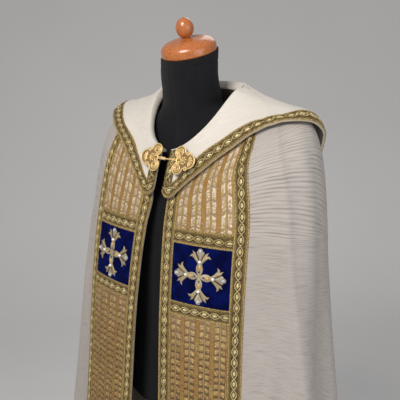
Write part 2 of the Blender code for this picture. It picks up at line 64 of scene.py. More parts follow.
# Each row: height, half width, front and back of one section of the bust form.
FORM_SECTIONS = np.array((
    (0.820, 0.168, -0.104, 0.112),
    (0.900, 0.166, -0.100, 0.110),
    (1.000, 0.158, -0.094, 0.100),
    (1.150, 0.170, -0.098, 0.108),
    (1.300, 0.194, -0.084, 0.114),
    (1.360, 0.204, -0.060, 0.110),
    (1.388, 0.198, -0.052, 0.100),
    (1.408, 0.180, -0.046, 0.092),
    (1.424, 0.144, -0.043, 0.085),
    (1.438, 0.102, -0.042, 0.078),
    (1.456, 0.073, -0.048, 0.074),
    (1.488, 0.0605, -0.054, 0.068),
))
TORSO_SEAMS = (0.0, 68.0, 180.0, 292.0)         # degrees round from the front
TORSO_BANDS = ((1.452, 0.0022), (1.548, 0.0018))    # height and width of each
SEWN_SINK = 0.0009                  # how deep both lie

# Cloth ----------------------------------------------------------------------
NECK_FRONT_Z = 1.375
HEM_FALL = 1.335
CLOTH = 0.002
COLLAR_CLOTH = 0.0045
COLLAR_LIFT = 0.0095                # how high the collar stands off the cope
HOOD_LIFT = 0.0150                  # and at the back
GALLOON_WIDTH = 0.028
ORPHREY_WIDTH = 0.182
ORPHREY_START = 0.02                # the fall of its top, under the collar
FRONT_BAND_WIDTH = 0.020
SEAM = 0.42                         # shoulder seam, in shares from orphrey to back
LEVELLING = 1.3                     # how heights ease from the side to both ends
BAR_TOP = 0.137
PANEL_TOP = 0.166
PANEL_BOTTOM = 0.281
BAR_BOTTOM = 0.309
CLEARANCE = 0.0003                  # what keeps one face off the next
ON_CLOTH = CLOTH + CLEARANCE        # where the trims lie
ON_COLLAR = COLLAR_CLOTH + CLEARANCE
HEM_TURN = 0.032                    # how deep the hem is turned up

SECTION_COLUMNS = (
    "fall", "side_z", "back_z", "half_width", "front_y", "side_y", "back_y",
    "middle_x", "gap", "power",
)
SECTIONS = np.array((
    (0.000, 1.483, 1.494, 0.090, -0.078, 0.012, 0.084, 0.016, 0.030, 2.40),
    (0.020, 1.465, 1.475, 0.134, -0.086, 0.026, 0.106, 0.015, 0.030, 2.15),
    (0.042, 1.451, 1.455, 0.190, -0.093, 0.036, 0.128, 0.014, 0.029, 2.00),
    (0.062, 1.442, 1.436, 0.232, -0.099, 0.040, 0.146, 0.014, 0.026, 1.95),
    (0.078, 1.422, 1.412, 0.250, -0.104, 0.036, 0.158, 0.013, 0.022, 2.00),
    (0.095, 1.384, 1.374, 0.264, -0.108, 0.030, 0.170, 0.013, 0.020, 2.10),
    (0.115, 1.318, 1.314, 0.276, -0.113, 0.025, 0.182, 0.012, 0.021, 2.15),
    (0.137, 1.243, 1.242, 0.284, -0.118, 0.023, 0.190, 0.010, 0.023, 2.20),
    (0.166, 1.209, 1.209, 0.288, -0.122, 0.022, 0.196, 0.008, 0.025, 2.20),
    (0.281, 1.094, 1.094, 0.298, -0.134, 0.022, 0.208, 0.003, 0.031, 2.20),
    (0.510, 0.865, 0.865, 0.316, -0.152, 0.018, 0.226, 0.002, 0.039, 2.20),
    (0.780, 0.595, 0.595, 0.346, -0.172, 0.014, 0.250, 0.001, 0.045, 2.20),
    (1.050, 0.325, 0.325, 0.386, -0.190, 0.012, 0.276, 0.000, 0.049, 2.20),
    (1.335, 0.040, 0.040, 0.432, -0.210, 0.012, 0.302, 0.000, 0.052, 2.20),
))

# Each row: side (+1 the wearer's left, -1 right, 0 both), place and half width
# as shares of the way from orphrey to centre back, depth out of the section at
# the hem, the fall at which the fold starts, and the power of its growth.
FOLDS = (
    (+1, 0.205, 0.085, +0.040, 0.06, 0.60),
    (+1, 0.310, 0.070, -0.044, 0.20, 0.90),
    (+1, 0.410, 0.075, +0.050, 0.20, 0.95),
    (+1, 0.530, 0.070, -0.050, 0.35, 1.00),
    (+1, 0.640, 0.080, +0.052, 0.30, 0.95),
    (+1, 0.765, 0.080, -0.046, 0.40, 1.05),
    (+1, 0.885, 0.080, +0.040, 0.32, 1.00),
    (-1, 0.160, 0.090, +0.036, 0.10, 0.65),
    (-1, 0.280, 0.080, -0.046, 0.30, 0.95),
    (-1, 0.395, 0.075, +0.048, 0.25, 0.90),
    (-1, 0.500, 0.065, -0.044, 0.38, 1.05),
    (-1, 0.615, 0.085, +0.054, 0.28, 0.95),
    (-1, 0.745, 0.080, -0.050, 0.36, 1.00),
    (-1, 0.870, 0.080, +0.042, 0.34, 1.05),
    (0, 1.000, 0.085, -0.030, 0.40, 1.00),
)
# Each row: side, share and fall of a soft crease's middle, the lean of its
# share per metre of fall, half width in share, half length in fall, depth.
CREASES = (
    (+1, 0.156, 0.230, 0.19, 0.017, 0.24, +0.0042),
    (+1, 0.206, 0.220, 0.18, 0.040, 0.24, -0.0072),
    (+1, 0.060, 0.230, -0.05, 0.050, 0.17, -0.0045),
    (+1, 0.330, 0.260, 0.10, 0.050, 0.12, +0.0030),
    (+1, 0.060, 0.700, 0.03, 0.045, 0.25, -0.0040),
    (+1, 0.480, 0.330, -0.06, 0.050, 0.14, -0.0040),
    (+1, 0.700, 0.300, 0.05, 0.060, 0.16, -0.0050),
    (+1, 0.860, 0.420, -0.04, 0.050, 0.20, -0.0045),
    (-1, 0.070, 0.280, -0.04, 0.055, 0.18, -0.0060),
    (-1, 0.200, 0.240, 0.05, 0.045, 0.12, -0.0035),
    (-1, 0.340, 0.220, 0.08, 0.050, 0.12, +0.0030),
    (-1, 0.560, 0.380, -0.05, 0.055, 0.16, -0.0045),
    (-1, 0.800, 0.340, 0.04, 0.060, 0.18, -0.0050),
    (-1, 0.050, 0.800, 0.02, 0.045, 0.24, -0.0040),
)

# Collar ---------------------------------------------------------------------
COLLAR_GAP = 0.0125                 # from the middle to its front edge
TIP_ROUNDING = 0.013                # how much its front corners are cut off
TIP_REACH = 0.016                   # and how far round that goes
# How much lower the edge lies on the right shoulder, and where, in shares.
SHOULDER_DROP, SHOULDER_MIDDLE, SHOULDER_SPREAD = 0.014, 0.37, 0.12
# Each row: share of the way round to centre back, fall of the outer edge there.
COLLAR_EDGE = np.array((
    (0.00, 0.088), (0.06, 0.070), (0.14, 0.058), (0.26, 0.050), (0.35, 0.047),
    (0.42, 0.052), (0.48, 0.064), (0.55, 0.079), (0.62, 0.091), (0.71, 0.115),
    (0.81, 0.165), (0.91, 0.225), (1.00, 0.248),
))

# Clasp ----------------------------------------------------------------------
PLATE_CENTRES = {+1: 0.0640, -1: -0.0050}       # how far to the left each stands
PLATE_Z = 1.367
PLATE_THICKNESS = 0.0025
CLASP_PITCH = math.radians(90.0 - 22.0)
CLASP_Y = -0.1030
# Each lobe: degrees from the plate's outer side, reach of its middle, radius.
LOBES = ((105.0, 0.0160, 0.0132), (-105.0, 0.0160, 0.0132), (0.0, 0.0200, 0.0150))
PLATE_TAB_REACH = 0.021             # from a plate's middle to the link
CORE_REACH, TAIL_REACH = 0.0195, 0.0100     # the plate's core, out and back
LINK_RADIUS = 0.0016
STUD_RADIUS = 0.0035
STUD_PLACE = 0.0055

# Braid ----------------------------------------------------------------------
BEAD_PITCH = 0.0216                 # from one woven almond to the next
CORD_SWAY = 0.0054                  # how far the wavy cords stand from the middle
PLY_TURN = 0.0042                   # length of one twist of a cord

# Striped fields and embroidery ----------------------------------------------
STRIPE_REPEAT = 0.0322
SATIN_WIDTH = 0.0092
DASH_ROW = 0.0140
WEFT_PER_METRE = 900.0
RIBS_PER_METRE = 390.0
STITCH = 0.0009
PANEL_MIDDLE = (PANEL_BOTTOM - PANEL_TOP) / 2

# Camera and lights ----------------------------------------------------------
CAMERA_TURN = math.radians(39.0)
CAMERA_PITCH = math.radians(13.0)
CAMERA_AWAY = 1.29
CAMERA_ASIDE = 0.021
CAMERA_HEIGHT = 1.56
CAMERA_LENS = 55.8
BACKDROP_START = 2.2                # where the floor begins to rise
# Each row: name, place across, away and up on the view's level axes, size,
# power in watts and colour of one light.
LIGHTS = (
    ("key", (-0.95, -1.65, 2.75), 0.9, 50.0, (1.0, 0.97, 0.94)),
    ("fill", (1.7, -2.0, 1.6), 1.8, 21.0, (0.95, 0.97, 1.0)),
    ("rim", (0.6, 2.0, 2.9), 1.2, 7.0, (1.0, 1.0, 1.0)),
)
LIT_PLACE = Vector((0.0, 0.0, 1.15))            # what every light faces

SIDES = {+1: "left", -1: "right"}


# Curves and tables ----------------------------------------------------------
def smooth_curve(at, places, values):
    """A smooth curve through the values: cubic pieces with shared slopes."""
    at = np.clip(at, places[0], places[-1])
    steps = np.diff(places)
    rises = np.diff(values) / steps
    slopes = np.empty(len(values))
    slopes[1:-1] = (rises[:-1] * steps[1:] + rises[1:] * steps[:-1]) / (steps[:-1] + steps[1:])
    slopes[0], slopes[-1] = rises[0], rises[-1]
    piece = np.clip(np.searchsorted(places, at, side="right") - 1, 0, len(steps) - 1)
    width = steps[piece]
    t = (at - places[piece]) / width
    return (
        (2 * t**3 - 3 * t**2 + 1) * values[piece]
        + (t**3 - 2 * t**2 + t) * width * slopes[piece]
        + (3 * t**2 - 2 * t**3) * values[piece + 1]
        + (t**3 - t**2) * width * slopes[piece + 1]
    )


def by_row(wanted, places, values):
    """Each row's values at wanted places, where its own places rise."""
    far = 2 * (np.abs(places).max() + np.abs(wanted).max()) + 1.0
    row = far * np.arange(len(places))[:, None]
    found = np.interp((wanted + row).ravel(), (places + row).ravel(), values.ravel())
    return found.reshape(wanted.shape)


def cubic_weights(t):
    """The shares of four neighbours in a smooth value t past the second."""
    return (
        -0.5 * t + t**2 - 0.5 * t**3,
        1 - 2.5 * t**2 + 1.5 * t**3,
        0.5 * t + 2 * t**2 - 1.5 * t**3,
        -0.5 * t**2 + 0.5 * t**3,
    )


def between(table, row, column):
    """A table's smooth values at fractional rows and columns."""
    rows, columns = table.shape[:2]
    row, column = np.broadcast_arrays(row, column)
    i = np.clip(np.floor(row).astype(int), 0, rows - 2)
    j = np.clip(np.floor(column).astype(int), 0, columns - 2)
    found = np.zeros(row.shape + table.shape[2:])
    for a, down in enumerate(cubic_weights(row - i)):
        near_row = np.clip(i + a - 1, 0, rows - 1)
        for b, along in enumerate(cubic_weights(column - j)):
            near_column = np.clip(j + b - 1, 0, columns - 1)
            found += (down * along)[..., None] * table[near_row, near_column]
    return found


def unit(vectors):
    """Vectors of length one."""
    return vectors / np.linalg.norm(vectors, axis=-1, keepdims=True)


def running(steps):
    """Distance run at each place, from the steps between them."""
    return np.concatenate([[0.0], np.cumsum(steps)])


def step_lengths(points, axis=0):
    """Distances between neighbouring points."""
    return np.linalg.norm(np.diff(points, axis=axis), axis=-1)


def full_turn(count):
    """Angles evenly round a circle."""
    return np.linspace(0.0, 2 * math.pi, count, endpoint=False)


def quads_of(index):
    """The four corners of every cell of a grid of numbers."""
    corners = [index[:-1, :-1], index[1:, :-1], index[1:, 1:], index[:-1, 1:]]
    return np.stack(corners, axis=-1).reshape(-1, 4)


class Cloth:
    """One half of the hung cloth, as a table of points and normals.

    A section at each fall is a rounded oval, with its own half width, front
    and back, and a height that eases from the front's to the side's and the
    back's.  The folds push it outwards by soft waves that grow downwards.
    """

    ROWS, COLUMNS = 535, 901

    def __init__(self, side):
        self.side = side
        self.falls = np.linspace(0.0, HEM_FALL, self.ROWS)
        row = {
            name: smooth_curve(self.falls, SECTIONS[:, 0], SECTIONS[:, k])[:, None]
            for k, name in enumerate(SECTION_COLUMNS)
        }
        angle = np.linspace(0.0, math.pi, self.COLUMNS)[None, :]
        sine, cosine = np.sin(angle), np.cos(angle)
        front, back = row["side_y"] - row["front_y"], row["back_y"] - row["side_y"]
        depth = np.where(cosine > 0, front, back)
        power = row["power"]
        radius = (
            np.abs(sine / row["half_width"]) ** power + np.abs(cosine / depth) ** power
        ) ** (-1 / power)
        x, y = radius * sine, row["side_y"] - radius * cosine
        front_z = NECK_FRONT_Z - row["fall"]
        end_z = np.where(cosine > 0, front_z, row["back_z"])
        z = row["side_z"] + (end_z - row["side_z"]) * np.abs(cosine) ** LEVELLING
        steps = np.sqrt(np.diff(x) ** 2 + np.diff(y) ** 2 + np.diff(z) ** 2)
        arc = np.hstack([np.zeros((self.ROWS, 1)), np.cumsum(steps, axis=1)])
        flat = np.hypot(np.gradient(x, axis=1), np.gradient(y, axis=1))
        out_x, out_y = np.gradient(y, axis=1) / flat, -np.gradient(x, axis=1) / flat
        self.total = arc[:, -1]
        rising = np.maximum.accumulate(x, axis=1) + 1e-9 * np.arange(self.COLUMNS)
        self.edge = by_row(row["gap"], rising, arc)[:, 0]
        self.collar_start = by_row(0 * row["gap"] + COLLAR_GAP, rising, arc)[:, 0]
        reach = np.linspace(0.0, 1.0, self.COLUMNS) * self.total[:, None]
        x, y, z, out_x, out_y = (by_row(reach, arc, v) for v in (x, y, z, out_x, out_y))
        out = self.folds(self.share(row["fall"], reach), row["fall"])
        x = row["middle_x"] + side * (x + out * out_x) * (reach < self.total[:, None])
        points = np.stack([x, y + out * out_y, z], axis=-1)
        normals = side * np.cross(np.gradient(points, axis=0), np.gradient(points, axis=1))
        normals[:, -1, 0] = 0.0
        self.table = np.concatenate([points, unit(normals)], axis=-1)

    def edge_at(self, fall):
        """Reach of the front edge."""
        return np.interp(fall, self.falls, self.edge)

    def total_at(self, fall):
        """Reach of centre back."""
        return np.interp(fall, self.falls, self.total)

    def share(self, fall, reach):
        """How far a place is on the way from the orphrey to centre back."""
        start = self.edge_at(fall) + ORPHREY_WIDTH
        return (reach - start) / (self.total_at(fall) - start)

    def reach_of_share(self, fall, share):
        """The reach of a share of the way from orphrey to centre back."""
        start = self.edge_at(fall) + ORPHREY_WIDTH
        return start + share * (self.total_at(fall) - start)

    def folds(self, share, fall):
        """How far folds and creases stand out: waves of squared cosines."""
        out = np.zeros(np.broadcast(share, fall).shape)
        for side, place, half_width, height, start, growth in FOLDS:
            if side in (0, self.side):
                grown = np.clip((fall - start) / (HEM_FALL - start), 0.0, 1.0) ** growth
                t = np.clip((share - place) / half_width, -1.0, 1.0)
                out += height * grown * np.cos(t * math.pi / 2) ** 2
        for side, place, middle, lean, half_width, half_length, height in CREASES:
            if side == self.side:
                t = (share - place - lean * (fall - middle)) / half_width
                u = (fall - middle) / half_length
                out += height * np.exp(-(t**2) - u**2)
        return out

    def place(self, fall, reach, lift=0.0):
        """Points at a height above the cloth."""
        fall, reach = np.broadcast_arrays(fall, reach)
        row = fall / HEM_FALL * (self.ROWS - 1)
        column = reach / self.total_at(fall) * (self.COLUMNS - 1)
        found = between(self.table, row, column)
        return found[..., :3] + unit(found[..., 3:]) * np.asarray(lift)[..., None]


cloth = {side: Cloth(side) for side in (+1, -1)}


# Meshes ---------------------------------------------------------------------
class Piece:
    """Grids of points gathered into one mesh, with a UV map in metres."""

    def __init__(self):
        self.points, self.uvs = [], []
        self.faces, self.corners, self.finishes = [], [], []
        self.count = self.uv_count = 0

    def skin(self, points, uv, kind=0, loop=False):
        """A skin round a path.  points is (..., rows, columns, 3), a ring a row.

        The first and last rows are drawn to a point, or in a loop the last
        row is joined to the first.  uv has a row or column more wherever the
        points are joined round.
        """
        rows, columns = points.shape[-3:-1]
        copies = points.reshape(-1, rows, columns, 3)
        index = np.arange(rows * columns).reshape(rows, columns)
        if loop:
            index = np.pad(index, ((0, 1), (0, 0)), mode="wrap")
        else:
            index[[0, -1]] = index[[0, -1], :1]
        index = np.pad(index, ((0, 0), (0, 1)), mode="wrap")
        corner = np.arange(index.size).reshape(index.shape)
        copy = np.arange(len(copies))[:, None, None]
        self._add(index, self.count + copy * rows * columns, self.faces)
        self._add(corner, self.uv_count + copy * corner.size, self.corners)
        self.finishes.append(np.full(len(copies) * (len(index) - 1) * columns, kind))
        self.points.append(copies.reshape(-1, 3))
        self.uvs.append(np.broadcast_to(uv, (len(copies), *index.shape, 2)).reshape(-1, 2))
        self.count += copies[..., 0].size
        self.uv_count += len(copies) * corner.size

    @staticmethod
    def _add(index, start, into):
        into.append((quads_of(index) + start).reshape(-1, 4))

    def shell(self, inner, outer, uv, kinds=(0, 1, 0)):
        """A closed wall between two grids: kinds of its outside, inside and rim."""
        rows, columns = inner.shape[:2]
        size = rows * columns
        index = np.arange(size).reshape(rows, columns)
        quads = quads_of(index)
        edge = np.concatenate([index[:-1, 0], index[-1, :-1], index[:0:-1, -1], index[0, :0:-1]])
        onward = np.roll(edge, -1)
        rim = np.stack([edge, edge + size, onward + size, onward], axis=-1)
        faces = np.concatenate([quads + size, quads[:, ::-1], rim])
        self.faces.append(faces + self.count)
        self.corners.append(faces + self.uv_count)
        self.finishes.append(np.repeat(kinds, (len(quads), len(quads), len(rim))))
        self.points.append(np.concatenate([inner.reshape(-1, 3), outer.reshape(-1, 3)]))
        self.uvs.append(np.concatenate([uv.reshape(-1, 2)] * 2))
        self.count += 2 * size
        self.uv_count += 2 * size

    def make(self, name, materials, slot, replaces, sharp):
        """Build the mesh, point its faces outwards and hand it to the frame."""
        faces, corners = np.concatenate(self.faces), np.concatenate(self.corners)
        keep = faces != np.roll(faces, 1, axis=1)
        totals = keep.sum(axis=1)
        mesh = bpy.data.meshes.new(name)
        points = np.concatenate(self.points)
        used, vertex = np.unique(faces[keep], return_inverse=True)
        mesh.vertices.add(len(used))
        mesh.vertices.foreach_set("co", points[used].ravel())
        mesh.loops.add(int(totals.sum()))
        mesh.loops.foreach_set("vertex_index", vertex.ravel())
        mesh.polygons.add(len(faces))
        starts = np.concatenate([[0], np.cumsum(totals)[:-1]])
        mesh.polygons.foreach_set("loop_start", starts)
        mesh.polygons.foreach_set("loop_total", totals)
        mesh.polygons.foreach_set("material_index", np.concatenate(self.finishes))
        layer = mesh.uv_layers.new(name="UVMap")
        layer.uv.foreach_set("vector", np.concatenate(self.uvs)[corners[keep]].ravel())
        mesh.update(calc_edges=True)
        mesh.validate()
        outwards(mesh)
        mesh.shade_smooth()
        mesh.set_sharp_from_angle(angle=math.radians(sharp))
        for material in materials:
            mesh.materials.append(material)
        made = bpy.data.objects.new(name, mesh)
        bpy.context.scene.collection.objects.link(made)
        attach(made, "root")
        if replaces:
            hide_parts(*replaces)
        return made


def outwards(mesh):
    """Turn the faces of every closed island outwards."""
    work = bmesh.new()
    work.from_mesh(mesh)
    bmesh.ops.recalc_face_normals(work, faces=work.faces)
    work.to_mesh(mesh)
    work.free()


def metres(across, along):
    """A UV grid from two coordinates in metres."""
    return np.stack(np.broadcast_arrays(across, along), axis=-1)


# Materials ------------------------------------------------------------------
class Value:
    """A number inside a material.  Arithmetic on it adds Math nodes."""

    def __init__(self, socket):
        self.socket, self.tree = socket, socket.id_data

    def apply(self, operation, *others):
        """A Math node's result, with this number as its first."""
        return math_node(self.tree, operation, self, *others)

    def __add__(self, other):
        return self.apply("ADD", other)

    def __sub__(self, other):
        return self.apply("SUBTRACT", other)

    def __rsub__(self, other):
        return math_node(self.tree, "SUBTRACT", other, self)

    def __mul__(self, other):
        return self.apply("MULTIPLY", other)

    def __truediv__(self, other):
        return self.apply("DIVIDE", other)

    def __abs__(self):
        return self.apply("ABSOLUTE")


def link(tree, value, socket):
    """Join an output to a socket, or set the socket's own value."""
    if isinstance(value, Value):
        value = value.socket
    if isinstance(value, bpy.types.NodeSocket):
        tree.links.new(value, socket)
    elif value is not None:
        socket.default_value = value


def math_node(tree, operation, *values):
    """One Math node's result."""
    node = tree.nodes.new("ShaderNodeMath")
    node.operation = operation
    for value, socket in zip(values, node.inputs):
        link(tree, value, socket)
    return Value(node.outputs[0])


def sine(value):
    """The sine of a material's number."""
    return value.apply("SINE")


def blend(tree, factor, first, second):
    """Two colours mixed by a factor."""
    node = tree.nodes.new("ShaderNodeMix")
    node.data_type = "RGBA"
    link(tree, factor, node.inputs[0])
    for value, socket in ((first, node.inputs[6]), (second, node.inputs[7])):
        link(tree, (*value, 1.0) if isinstance(value, tuple) else value, socket)
    return node.outputs[2]


def ramp(tree, value, low, high, to_low=0.0, to_high=1.0):
    """A value carried smoothly from one range to another."""
    node = tree.nodes.new("ShaderNodeMapRange")
    node.interpolation_type = "SMOOTHSTEP"
    for k, given in enumerate((value, low, high, to_low, to_high)):
        link(tree, given, node.inputs[k])
    return Value(node.outputs[0])


def noise(tree, vector, scale, detail=2.0, stretch=None):
    """Noise on a vector, its scale multiplied along each axis by the stretch."""
    if stretch is not None:
        mapping = tree.nodes.new("ShaderNodeMapping")
        link(tree, vector, mapping.inputs["Vector"])
        mapping.inputs["Scale"].default_value = stretch
        vector = mapping.outputs[0]
    node = tree.nodes.new("ShaderNodeTexNoise")
    link(tree, vector, node.inputs["Vector"])
    node.inputs["Scale"].default_value = scale
    node.inputs["Detail"].default_value = detail
    return Value(node.outputs["Fac"])


def bump(tree, height, distance, strength):
    """A normal from a height in metres times distance."""
    node = tree.nodes.new("ShaderNodeBump")
    link(tree, height, node.inputs["Height"])
    node.inputs["Distance"].default_value = distance
    node.inputs["Strength"].default_value = strength
    return node.outputs[0]


def uv_of(tree):
    """The piece's own UV map, in metres."""
    node = tree.nodes.new("ShaderNodeUVMap")
    node.uv_map = "UVMap"
    return node.outputs[0]


def object_place(tree):
    """Object coordinates, in metres."""
    return tree.nodes.new("ShaderNodeTexCoord").outputs["Object"]


def split(tree, vector):
    """The X, Y and Z of a vector."""
    node = tree.nodes.new("ShaderNodeSeparateXYZ")
    link(tree, vector, node.inputs[0])
    return [Value(socket) for socket in node.outputs]


def finish(name, colour, roughness, metallic=0.0, **constants):
    """A Principled material with constants on the shader's own sockets."""
    made = bpy.data.materials.new(name)
    made.use_nodes = True
    shader = made.node_tree.nodes["Principled BSDF"]
    shader.inputs["Base Color"].default_value = (*colour, 1.0)
    shader.inputs["Roughness"].default_value = roughness
    shader.inputs["Metallic"].default_value = metallic
    for key, value in constants.items():
        shader.inputs[key.replace("_", " ").title().replace("Ior", "IOR")].default_value = value
    return made, made.node_tree, shader


def wire(tree, shader, colour, roughness=None, normal=None):
    """Join what varies over the surface to the shader."""
    for name, value in (("Base Color", colour), ("Roughness", roughness), ("Normal", normal)):
        if value is not None:
            link(tree, value, shader.inputs[name])


def new_group(name, inputs, outputs):
    """An empty node group with named sockets and its two ends."""
    group = bpy.data.node_groups.new(name, "ShaderNodeTree")
    kinds = {float: "NodeSocketFloat", tuple: "NodeSocketVector"}
    for label, default in inputs.items():
        socket = group.interface.new_socket(label, in_out="INPUT", socket_type=kinds[type(default)])
        socket.default_value = default
    for label in outputs:
        group.interface.new_socket(label, in_out="OUTPUT", socket_type="NodeSocketFloat")
    start, end = group.nodes.new("NodeGroupInput"), group.nodes.new("NodeGroupOutput")
    return group, start.outputs, end.inputs


def use_group(tree, group, **values):
    """Place a group and set or join its inputs."""
    node = tree.nodes.new("ShaderNodeGroup")
    node.node_tree = group
    for key, value in values.items():
        link(tree, value, node.inputs[key.replace("_", " ").capitalize()])
    return {socket.name: Value(socket) for socket in node.outputs}


def slub_weave():
    """Ribs across the cloth whose threads thicken and thin along their length.

    Height is a row of rounded ribs, bent a little by noise, with a few raised
    slubs and, between thinner threads, long narrow furrows.  Shade is partly
    the threads' own tone and partly painted shade that follows that relief:
    1 on full threads, lighter on ribs and slubs, and 0 in the furrows.
    """
    inputs = {"Cut place": (0.0, 0.0, 0.0), "Slubs": 0.5}
    group, given, out = new_group("slub weave", inputs, ("Height", "Shade"))
    place = given["Cut place"]
    u, v, _ = split(group, place)
    sway = noise(group, place, 9.0, 2.0)
    rib = sine((v * RIBS_PER_METRE + sway * 0.6) * (2 * math.pi))
    thread = noise(group, place, 1.0, 1.0, stretch=(40.0, 700.0, 1.0))
    furrows = noise(group, place, 1.0, 2.0, stretch=(26.0, 780.0, 1.0))
    furrow = ramp(group, furrows, 0.53, 0.34) * given["Slubs"]
    slubs = noise(group, place, 1.0, 1.0, stretch=(30.0, 520.0, 1.0))
    slub = ramp(group, slubs, 0.64, 0.8) * given["Slubs"]
    ends = sine(u * (2 * math.pi * WEFT_PER_METRE))
    link(group, rib * 0.14 + ends * 0.04 + thread * 0.35 - furrow + slub, out["Height"])
    # Shade: thread tone plus painted shade, darker between the ribs and in the furrows, lighter on the
    # slubs.
    link(group, (thread + 0.5) * 0.7 + rib * 0.24 + slub * 0.5 - furrow, out["Shade"])
    return group


def handling():
    """Soft uneven soiling and rubbing: a large and a middling noise."""
    inputs = {"Place": (0.0, 0.0, 0.0), "Scale": 6.0}
    group, given, out = new_group("handling", inputs, ("Mask",))
    scaled = group.nodes.new("ShaderNodeVectorMath")
    scaled.operation = "SCALE"
    link(group, given["Place"], scaled.inputs[0])
    link(group, given["Scale"], scaled.inputs["Scale"])
    broad = noise(group, scaled.outputs[0], 1.0, 3.0)
    fine = noise(group, scaled.outputs[0], 7.0, 2.0)
    link(group, ramp(group, broad + fine * 0.35, 0.45, 0.95), out["Mask"])
    return group


SLUB_WEAVE = slub_weave()
HANDLING = handling()


def brocade(name, light, dark, slubs):
    """Off-white slub rib: light on its full threads, greyer in its furrows and between its ribs as
    painted shade.
    """
    made, tree, shader = finish(
        name, light, 0.74, sheen_weight=0.12, sheen_roughness=0.5, specular_ior_level=0.25,
    )
    weave = use_group(tree, SLUB_WEAVE, cut_place=uv_of(tree), slubs=slubs)
    soil = use_group(tree, HANDLING, place=object_place(tree), scale=5.0)["Mask"]
    # Painted shade: the colour follows the weave's relief, greyer in the furrows and between the ribs.
    colour = blend(tree, ramp(tree, weave["Shade"], -0.1, 0.95), dark, light)
    soiled = tuple(0.82 * part for part in light)
    colour = blend(tree, soil * 0.25, colour, soiled)
    rough = ramp(tree, weave["Shade"], 0.0, 1.0, 0.86, 0.64)
    wire(tree, shader, colour, rough, bump(tree, weave["Height"], 0.0004, 0.65))
    return made


def lining():
    """Grey-beige sateen: a fine slanting twill."""
    made, tree, shader = finish("sateen lining", (0.40, 0.35, 0.30), 0.5, sheen_weight=0.15)
    place = uv_of(tree)
    u, v, _ = split(tree, place)
    twill = sine((u + v * 0.6) * 7000.0)
    cloudy = noise(tree, place, 18.0, 3.0)
    colour = blend(tree, cloudy, (0.34, 0.29, 0.25), (0.47, 0.42, 0.36))
    height = twill * 0.2 + cloudy
    rough = ramp(tree, cloudy, 0.3, 0.7, 0.42, 0.62)
    wire(tree, shader, colour, rough, bump(tree, height, 0.0004, 0.6))
    return made


def edge_satin():
    """Beige satin of the turned edge, with a fine rib across it."""
    made, tree, shader = finish("edge satin", (0.58, 0.47, 0.32), 0.48, sheen_weight=0.1)
    place = uv_of(tree)
    ribs = noise(tree, place, 1.0, 1.0, stretch=(900.0, 120.0, 1.0))
    colour = blend(tree, ribs, (0.46, 0.36, 0.22), (0.70, 0.60, 0.44))
    wire(tree, shader, colour, None, bump(tree, ribs, 0.0003, 0.6))
    return made


# One cloth in two copies, shaded and lit: the body's copy is darkened as painted shade for the light
# falling off down the cope, and the collar's lighter copy is painted light.
BODY_BROCADE_PAINTED_SHADE = brocade("cream brocade", (0.485, 0.441, 0.406), (0.275, 0.247, 0.222), 0.42)
COLLAR_BROCADE_PAINTED_LIGHT = brocade("collar brocade in painted light", (0.72, 0.675, 0.60), (0.55, 0.51, 0.45), 0.4)
LINING = lining()
EDGE_SATIN = edge_satin()


# Body -----------------------------------------------------------------------
def cut_place(beyond_edge, fall, share):
    """UV in metres of the flat cut.

    On the orphrey it is distance from the straight edge and fall.  Beyond it
    the grain turns with the cloth: the fall swings round the neck by an angle
    that reaches a right angle at centre back.
    """
    turn = np.clip(share, 0.0, 1.0) ** 1.15 * math.pi / 2
    across = np.where(share > 0, ORPHREY_WIDTH + fall * np.sin(turn) + 0.1 * share, beyond_edge)
    return metres(across, fall * np.cos(turn))


def body_lift(fall, share):
    """How much the outer face stands up: a sunk shoulder seam, a turned hem."""
    past_turn = fall - (HEM_FALL - HEM_TURN)
    seam = -0.0018 * np.exp(-(((share - SEAM) / 0.0056) ** 2))
    hem = 0.0006 / (1 + np.exp(-past_turn / 0.0012))
    stitch = -0.0005 * np.exp(-((past_turn / 0.0020) ** 2))
    return CLOTH + seam + hem + stitch


def body_rows():
    """Falls of the body's rows, close together at the neck and the hem."""
    return np.concatenate([
        np.linspace(0.0, 0.35, 56), np.linspace(0.358, 1.28, 92), np.linspace(1.288, HEM_FALL, 14),
    ])[:, None]


def half_grid(side, shares, with_orphrey):
    """Inner and outer points and UV of one half, over a range of shares."""
    half, fall = cloth[side], body_rows()
    reach = half.reach_of_share(fall, shares[None, :])
    if with_orphrey:
        near = half.edge_at(fall) + np.linspace(0.0, ORPHREY_WIDTH, 9)[None, :-1]
        reach = np.hstack([near, reach])
    share = half.share(fall, reach)
    beyond = reach - half.edge_at(fall)
    inner = half.place(fall, reach)
    outer = half.place(fall, reach, body_lift(fall, share))
    return inner, outer, cut_place(beyond, fall + 0 * reach, share)


def make_body():
    """Two fronts and the back, meeting in the shoulder seams."""
    made = []
    for side, label in SIDES.items():
        piece = Piece()
        piece.shell(*half_grid(side, np.linspace(0.0, SEAM - 0.0006, 54), True))
        name = f"cope_front_{label}"
        made.append(piece.make(f"{name}_cloth", (BODY_BROCADE_PAINTED_SHADE, LINING), "cream_brocade", (name,), 50))
    halves = [half_grid(side, np.linspace(SEAM + 0.0006, 1.0, 72), False) for side in SIDES]
    piece = Piece()
    piece.shell(*(np.concatenate([left, right[:, -2::-1]], axis=1) for left, right in zip(*halves)))
    back = piece.make("cope_back_cloth", (BODY_BROCADE_PAINTED_SHADE, LINING), "cream_brocade", ("cope_back",), 50)
    return [*made, back]


# Collar and binding ---------------------------------------------------------
def collar_columns():
    """Metres round from the front edge, then shares of the rest, to the back."""
    band = np.linspace(0.0, FRONT_BAND_WIDTH, 9)
    shares = np.linspace(0.0, 1.0, 110)[1:]
    metres_round = np.concatenate([band, np.full(shares.shape, FRONT_BAND_WIDTH)])
    return metres_round, np.concatenate([np.zeros(band.shape), shares])


def collar_lift(share):
    """How high the collar's inner face stands over the cloth: more at the back."""
    return COLLAR_LIFT + (HOOD_LIFT - COLLAR_LIFT) * np.clip(2 * share - 0.5, 0.0, 1.0)


